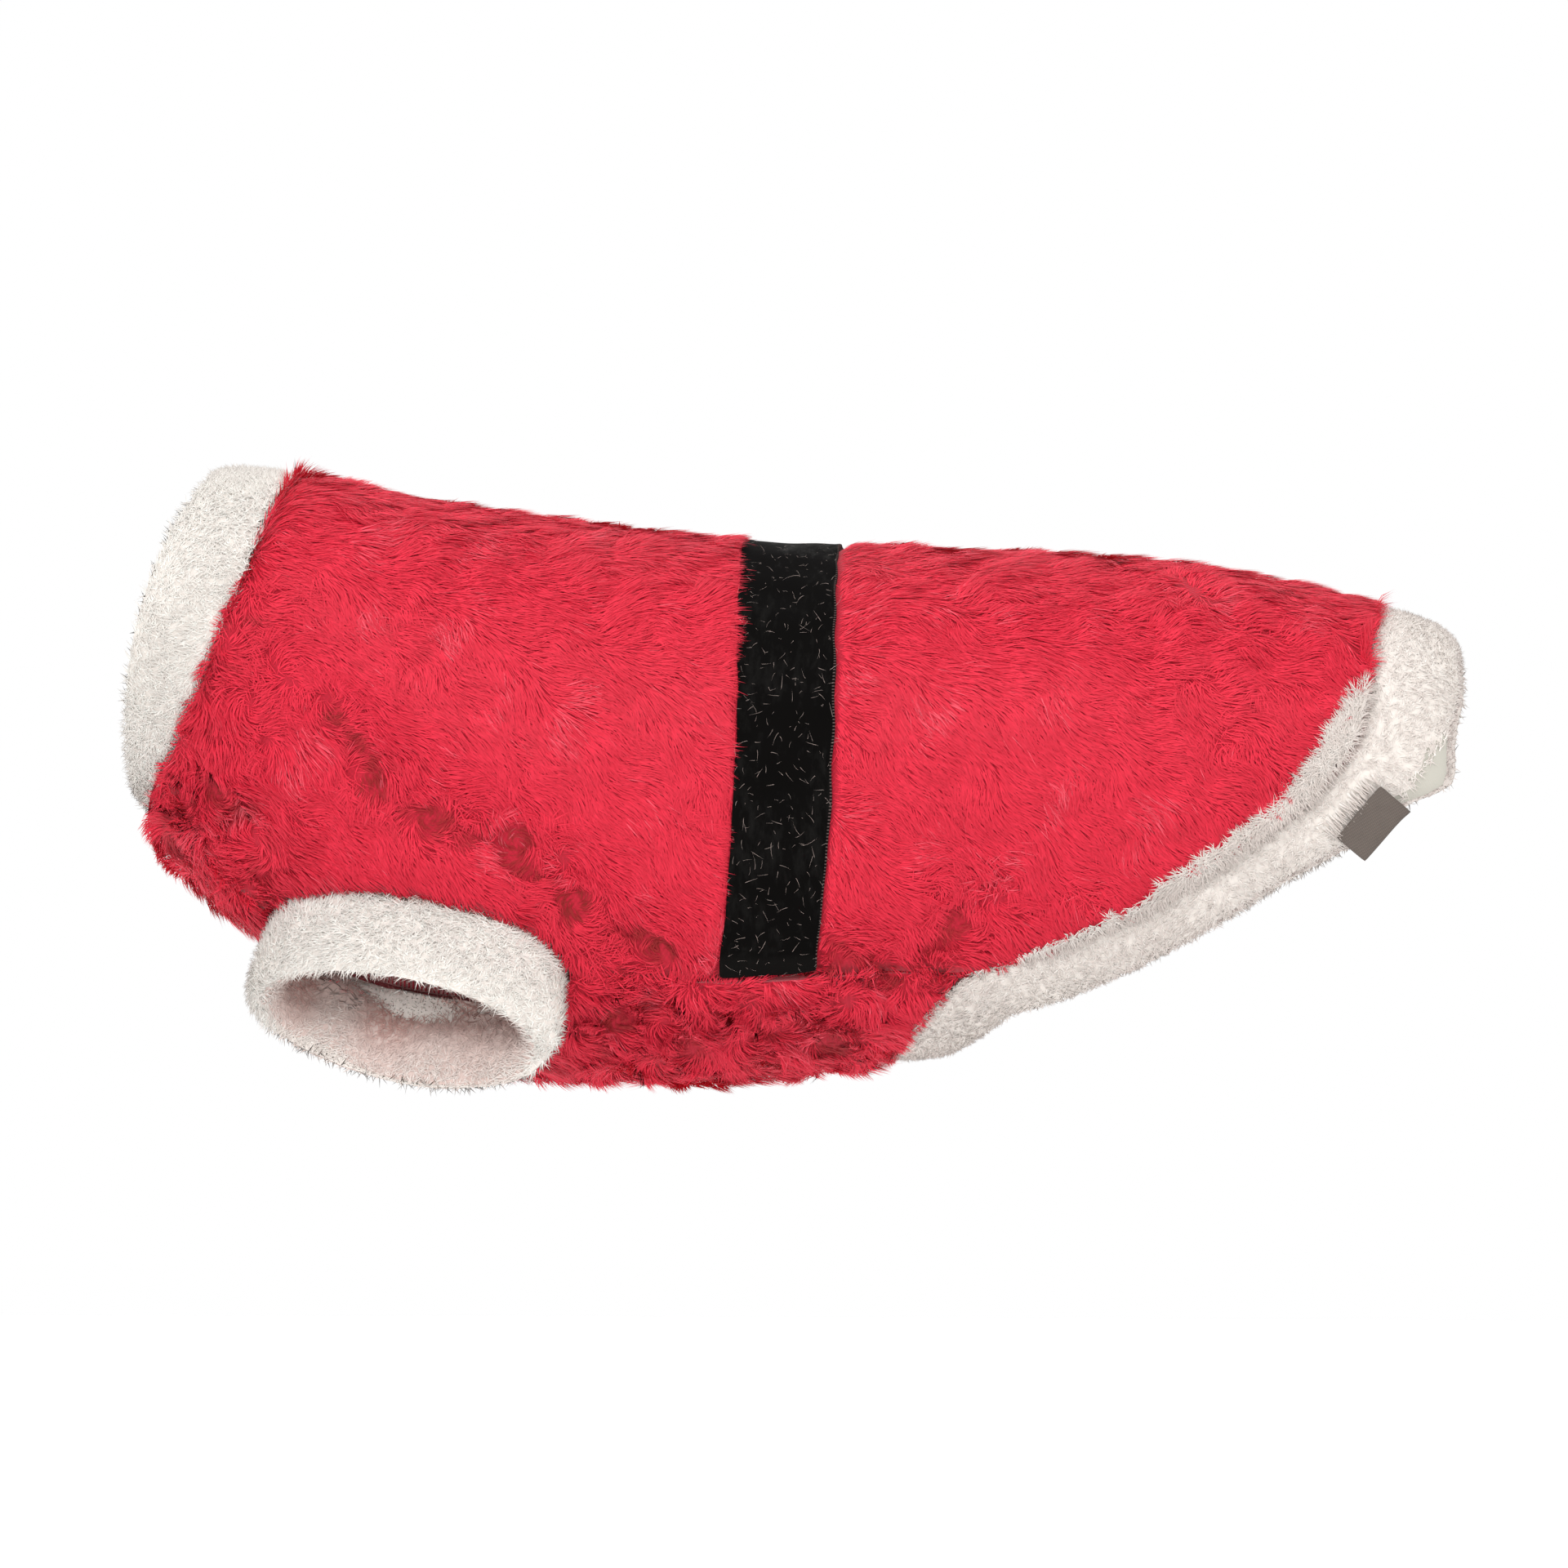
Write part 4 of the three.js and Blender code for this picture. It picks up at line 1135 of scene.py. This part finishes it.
class COAT_OT_red_pile(bpy.types.Operator):
    """Grows the curly pile of the red plush, in drifts and whorls"""
    bl_idname = "coat.red_pile"
    bl_label = "Red pile"

    def execute(self, context):
        red = context.scene.coat_red
        rng = np.random.default_rng(2411)
        paint = pile_paint("red_pile", red.deep_colour, red.tip_colour, red.pale_colour, 0.2, 0.25)
        parts = [scatter(bpy.data.objects[name], thinned(count), rng, coat_spokes, -0.35)
                 for name, count in (("back_cloth", red.back_strands), ("belly_cloth", red.belly_strands))]
        on_belly = np.repeat([False, True], [len(part[0]) for part in parts])
        points, normals = (np.concatenate([part[k] for part in parts]) for k in (0, 1))
        belt, tubes = tree_of("belt"), tree_of("leg_cuff_left", "leg_cuff_right")
        beside = [way_to(points, normals, tree_of(*nodes)) for nodes in (
            ("belly_panel",), ("back_panel",), ("collar", "leg_cuff_left", "leg_cuff_right"), ("hem_trim",))]
        ways = [np.where(on_belly[:, None], beside[1][0], beside[0][0]), beside[2][0], beside[3][0]]
        gaps = [np.where(on_belly, beside[1][1], beside[0][1]), beside[2][1], beside[3][1]]
        past = np.where(on_belly, -99, past_trim(points))
        side = np.sign(points[:, 1])[:, None]
        into = np.where(side < 0, cuff_spokes(-1)(points), cuff_spokes(1)(points))
        wall = dot(normals, coat_spokes(points))[:, 0] < 0.35
        bare = covered(points, normals, belt, 0.009) | (wall & (np.min(gaps, axis=0) > 0.0045))
        bare |= (distances(points, tubes) < 0.007) & (wall | (dot(normals, into)[:, 0] < -0.35))
        bare |= (past > 0) & (gaps[2] < 0.012)
        gaps[2] = np.where(past > -90, np.maximum(-past * MM, 0), gaps[2])
        normals[wall] = coat_spokes(points[wall])
        points, normals, on_belly, wall = points[~bare], normals[~bare], on_belly[~bare], wall[~bare]
        flow, bow, border, tousle = whorled(points, normals, red.whorl_spacing, rng)
        count = len(points)
        # eye: where the pile parts; it thins the strands and, through the painted light share, darkens their colour as
        # painted shade
        eye = parting_and_painted_shade(points, tousle)
        gone = rng.random(count) < eye * 0.35
        ridge = smooth(coat_spokes(points)[:, 2], 0.5, 0.9)
        low = np.maximum(smooth(-points[:, 0], 0.14, 0.17), smooth(-points[:, 2], 0.118, 0.134))
        tufted = np.clip(0.5 + waves(points, 0.011, 55), 0, 1) * ~wall
        lift = 4 + 24 * smooth(border, 0.3, 1) * tousle * (1 - eye) + rng.normal(0, 1.5 + 5 * tousle, count)
        lift += (7 * ridge + 15 * low) * tufted + wall * rng.uniform(15, 40, count)
        lift += 9 * (1 - smooth(gaps[0][~bare], 0.002, 0.005))
        lift = np.radians(lift)
        standing = np.maximum(ridge, low) * tufted
        length = red.pile_length * rng.uniform(0.8, 1.15, count) * (1 - 0.35 * eye) * (1 + 0.25 * standing)
        for way, gap, lean_over, short in zip(ways, gaps, (0.75, 0.75, 0.3), (0, 0.1, 0.3)):
            at_edge = 1 - smooth(gap[~bare], 0.0012, 0.0055)
            amount = (at_edge * lean_over * rng.uniform(0.3, 1, count))[:, None]
            flow = unit(flow * (1 - amount) + way[~bare] * amount)
            length *= 1 - short * at_edge
        back, gap = way_to(points, normals, belt)
        near_belt = 1 - smooth(gap, 0.0015, 0.007)
        left_wisps = np.clip(0.6 + waves(points, 0.012, 58), 0, 1) * (points[:, 0] < -0.002)
        edge = near_belt * (rng.random(count) < 0.05 + 0.22 * left_wisps)
        towards = np.maximum(dot(flow, back)[:, 0], 0) * near_belt * (edge < 0.01) * ~on_belly
        flow = unit(flow - back * towards[:, None])
        flow = unit(flow * (1 - 0.55 * edge)[:, None] + back * (0.55 * edge)[:, None])
        length *= 1 - 0.45 * near_belt * (edge < 0.01)
        lean = normals * (length * np.sin(lift))[:, None] + flow * (length * np.cos(lift))[:, None]
        together = 0.08 + 0.45 * tousle * border + 0.3 * at_edge + 0.2 * standing
        pull = bunch(points, lean, 0.04, np.minimum(together, 0.55), rng) + bow * length[:, None]
        gone |= in_cuffs(points + lean + pull)
        # Painted highlights: patches of strands painted lighter, as if they catch the light
        glint = smooth(waves(points, 0.022, 41), 0.25, 0.7) * smooth(border, 0.25, 0.8) * (0.5 + 0.5 * tousle)
        painted_glint = rng.random(count) < 0.004 + 0.7 * glint
        shade = np.where(painted_glint, rng.uniform(0.92, 1, count), rng.uniform(0, 0.9, count))
        # Painted light share: painted shade darkens the pile where the eye says, and a little near whorl eyes in
        # tousled pile
        painted_light_share = np.clip(1 - 0.95 * eye - 0.08 * tousle * (1 - smooth(border, 0.1, 0.8)), 0, 1)
        width = red.strand_width * rng.uniform(0.7, 1.25, count) * (1 - 0.5 * (edge > 0.1))
        part = np.where(on_belly, len(PILE_STOPS) + 1, np.searchsorted(PILE_STOPS, points[:, 0], "right"))
        for i, name in enumerate(("neck", "shoulder", "loin", "rump", "belly")):
            k = (part == i) & ~gone
            curls("red_pile_" + name, paint, "red_plush", points[k], normals[k], flow[k], length[k], lift[k],
                  width[k], shade[k], painted_light_share[k], rng, pull[k])
        return {"FINISHED"}


class COAT_OT_white_pile(bpy.types.Operator):
    """Grows the dense pile of the white plush trims"""
    bl_idname = "coat.white_pile"
    bl_label = "White pile"

    def execute(self, context):
        white = context.scene.coat_white
        rng = np.random.default_rng(1225)
        pale = [min(1, c * 1.06) for c in white.tip_colour]
        paint = pile_paint("white_pile", white.deep_colour, white.tip_colour, pale, 0.1, 0.15)
        label = tree_of("label")
        panels, hem = tree_of("back_panel", "belly_panel"), tree_of("hem_trim")
        low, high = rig.box("label")
        label_middle = np.array((low + high) / 2)
        for name, cloth, spokes, long in (("collar_pile", "collar_cloth", coat_spokes, 1.0),
                                          ("left_cuff_pile", "left_cuff_cloth", cuff_spokes(-1), 1.0),
                                          ("right_cuff_pile", "right_cuff_cloth", cuff_spokes(1), 1.0),
                                          ("hem_pile", "hem_cloth", coat_spokes, 0.72)):
            obj = bpy.data.objects[cloth]
            area = sum(face.area for face in obj.data.polygons) / MM ** 2
            points, normals = scatter(obj, thinned(area * white.density), rng, spokes)
            strip = np.zeros(len(points), bool)
            if name == "hem_pile":
                over_red, on_red = scatter(bpy.data.objects["back_cloth"], thinned(white.over_red), rng, coat_spokes,
                                           0.3, lambda p: (past_trim(p) > -1) & (distances(p, hem) < 0.013))
                kept = (past_trim(over_red) > 0) & (distances(over_red, hem) < 0.012)
                strip = np.repeat([False, True], [len(points), kept.sum()])
                points, normals = np.concatenate([points, over_red[kept]]), np.concatenate([normals, on_red[kept]])
            bare = covered(points, normals, label, 0.006) | (on_lining(points, 2) & (name == "hem_pile"))
            points, normals, strip = points[~bare], normals[~bare], strip[~bare]
            out = dot(normals, spokes(points))[:, 0]
            over, gap = way_to(points, normals, panels)
            over[strip], gap[strip] = way_to(points[strip], normals[strip], hem)
            wall = (np.abs(out) <= 0.5) & (gap < 0.005)
            normals[wall] = spokes(points[wall])
            count = len(points)
            flow = np.stack([waves(points, 0.03, k) for k in (31, 32, 33)], 1) + 0.6 * rng.normal(size=(count, 3))
            flow = unit(flow - dot(flow, normals) * normals)
            near = 1 - smooth(gap, 0.0015, 0.0045)
            beside = near * rng.uniform(0.2, 1, count) * (0.85 if name == "hem_pile" else 0.4)
            over = over - dot(over, normals) * normals
            flow = unit(flow * (1 - beside)[:, None] + over * beside[:, None])
            inside = smooth(-out, -0.1, 0.6)
            lift = 32 + 4 * waves(points, 0.014, 34) + rng.normal(0, 5, count) - 8 * inside + 18 * wall
            length = white.pile_length * long * rng.uniform(0.8, 1.2, count) * (1 - 0.15 * inside)
            seen = (points - label_middle)[:, [0, 2]]
            above, beyond = seen @ np.array([-0.76, 0.65]), np.abs(seen @ np.array([0.65, 0.76]))
            brushed = (above > 0.0078) & (above < 0.0112) & (beyond < 0.0105) & (points[:, 1] < 0)
            over, _ = way_to(points[brushed], normals[brushed], label)
            flow[brushed] = unit(flow[brushed] * 0.2 + over * 0.8)
            lift[brushed] = 54
            length *= 1 + 0.9 * brushed + 0.4 * strip + (0.5 if name == "hem_pile" else 0.15) * near
            width = white.strand_width * rng.uniform(0.75, 1.25, count) * (1 + 0.8 * brushed)
            lift = np.radians(np.clip(lift, 10, 70))
            lean = normals * (length * np.sin(lift))[:, None] + flow * (length * np.cos(lift))[:, None]
            lean += bunch(points, lean, 0.08, np.full(count, 0.09), rng)
            # Painted shade inside the tubes: inward-facing strands are darkened towards the pinkish shade tone, more
            # near the panels and most in the cuffs
            deeper = 1 - smooth(gap, 0.004, 0.024)
            shaded = (0.3 + 0.6 * deeper) * (1 + 0.25 * waves(points, 0.02, 35)) * (1 if "cuff" in name else 0.2)
            painted_light_share = np.clip(1 - inside * shaded, 0, 1)
            # Painted shade: the whole hem's pile is darkened a little
            if name == "hem_pile":
                painted_light_share *= 0.84
            shade = rng.uniform(0, 0.93, count)
            bristles(name, paint, "white_plush", points, normals, lean, width, shade, painted_light_share, rng)
        return {"FINISHED"}


class COAT_OT_lint(bpy.types.Operator):
    """Lays loose pale hairs on the velvet"""
    bl_idname = "coat.lint"
    bl_label = "Lint"

    def execute(self, context):
        rng = np.random.default_rng(77)
        count = context.scene.coat_ribbon.lint
        points, normals = scatter(bpy.data.objects["belt_ribbon"], count, rng, coat_spokes, 0.5)
        flow = rng.normal(size=(count, 3))
        flow = unit(flow - dot(flow, normals) * normals)
        paint = pile_paint("lint", (0.3, 0.2, 0.18), (0.55, 0.44, 0.4), (0.75, 0.68, 0.62), 0.1, 0.2)
        length = rng.uniform(0.0008, 0.0048, count) * rng.uniform(0.4, 1.1, count)
        curls("belt_lint", paint, "black_velvet", points + normals * 0.00025, normals, flow, length,
              np.radians(rng.uniform(2, 16, count)), rng.uniform(0.00003, 0.00006, count), rng.random(count),
              np.ones(count), rng, np.zeros((count, 3)), 0.5, 4)
        return {"FINISHED"}


def area_lamp(name, place, target, size, power):
    lamp = bpy.data.lights.new(name, "AREA")
    lamp.shape, lamp.size, lamp.energy = "DISK", size, power
    obj = bpy.data.objects.new(name, lamp)
    obj.location = place
    obj.rotation_euler = (Vector(target) - Vector(place)).to_track_quat("-Z", "Y").to_euler()
    bpy.context.scene.collection.objects.link(obj)


class COAT_OT_studio(bpy.types.Operator):
    """Makes the pale floor, the soft lamps and the camera at the photograph's angle"""
    bl_idname = "coat.studio"
    bl_label = "Studio"

    def execute(self, context):
        studio = context.scene.coat_studio
        bpy.ops.object.select_all(action="DESELECT")
        bpy.ops.mesh.primitive_plane_add(size=5, location=(0, 0, studio.floor_height))
        floor = context.object
        floor.name = "studio_floor"
        paint = Paint("pale_floor", Specular_IOR_Level=0.1)
        tone = paint.noise(0.6, 2)
        floor.data.materials.append(paint.finish(
            Base_Color=paint.mix((0.95, 0.95, 0.95, 1), (0.97, 0.97, 0.965, 1), tone), Roughness=0.9))
        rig.stage(floor)
        world = bpy.data.worlds.new("white_room")
        world.use_nodes = True
        world.node_tree.nodes["Background"].inputs["Color"].default_value = (1, 1, 1, 1)
        world.node_tree.nodes["Background"].inputs["Strength"].default_value = 1.0
        context.scene.world = world
        middle = (0, 0, -0.06)
        area_lamp("key_lamp", (0.1, -2.2, 1.15), middle, 1.1, studio.key_power)
        area_lamp("top_lamp", (-0.3, 0.5, 1.8), middle, 1.4, studio.key_power * 0.25)
        turn = studio.azimuth
        back = Vector((math.sin(turn), -math.cos(turn), 0))
        right = Vector((math.cos(turn), math.sin(turn), 0))
        target = right * -0.0012 + Vector((0, 0, -0.0642))
        camera = bpy.data.cameras.new("photo_camera")
        camera.lens, camera.sensor_width = studio.lens, SENSOR
        eye = bpy.data.objects.new("photo_camera", camera)
        eye.location = target + back * (studio.frame_width * studio.lens / SENSOR)
        eye.rotation_euler = (-back).to_track_quat("-Z", "Y").to_euler()
        camera.clip_end = 50
        context.scene.collection.objects.link(eye)
        context.scene.camera = eye
        context.scene.view_settings.view_transform = "Standard"
        return {"FINISHED"}


class COAT_PT_pieces(bpy.types.Panel):
    """Lists the coat's pieces and their settings"""
    bl_label = "Dog Santa Coat"
    bl_space_type = "VIEW_3D"
    bl_region_type = "UI"
    bl_category = "Coat"

    def draw(self, context):
        for made in OPERATORS:
            self.layout.operator(made.bl_idname)
        for name in SETTINGS:
            held = getattr(context.scene, name)
            box = self.layout.box()
            for key in held.__annotations__:
                box.prop(held, key)


OPERATORS = (COAT_OT_red_cloth, COAT_OT_white_cloth, COAT_OT_belt, COAT_OT_label, COAT_OT_seams,
             COAT_OT_red_pile, COAT_OT_white_pile, COAT_OT_lint, COAT_OT_studio)
SETTINGS = {
    "coat_red": RedPlushSettings,
    "coat_white": WhitePlushSettings,
    "coat_ribbon": RibbonSettings,
    "coat_seam": SeamSettings,
    "coat_studio": StudioSettings,
}


def register():
    for made in (*SETTINGS.values(), *OPERATORS, COAT_PT_pieces):
        bpy.utils.register_class(made)
    for name, group in SETTINGS.items():
        setattr(bpy.types.Scene, name, bpy.props.PointerProperty(type=group))


def unregister():
    for name in SETTINGS:
        delattr(bpy.types.Scene, name)
    for made in (COAT_PT_pieces, *reversed(OPERATORS), *SETTINGS.values()):
        bpy.utils.unregister_class(made)


def declare_cloth():
    """States each piece of cloth as a sheet, with its flat cut and what is sewn or grown on it."""
    for cut in CUTS:
        width, height = cut["flat"]
        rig.sheet(bpy.data.objects[cut["name"]], flat=cut["flat"], held=cut["held"], rests_on=cut["on"],
                 area=width * height * cut["share"], with_pieces=cut["carries"])


def main():
    register()
    bpy.ops.coat.red_cloth()
    bpy.ops.coat.white_cloth()
    bpy.ops.coat.belt()
    bpy.ops.coat.label()
    bpy.ops.coat.seams()
    bpy.ops.coat.red_pile()
    bpy.ops.coat.white_pile()
    bpy.ops.coat.lint()
    bpy.ops.coat.studio()
    declare_cloth()
    low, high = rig.bounds()
    sizes = {"cad": [CAD_LOW, CAD_HIGH], "visual": [list(low), list(high)]}
    with open("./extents.json", "w") as file:
        json.dump(sizes, file)


if __name__ == "__main__":
    main()
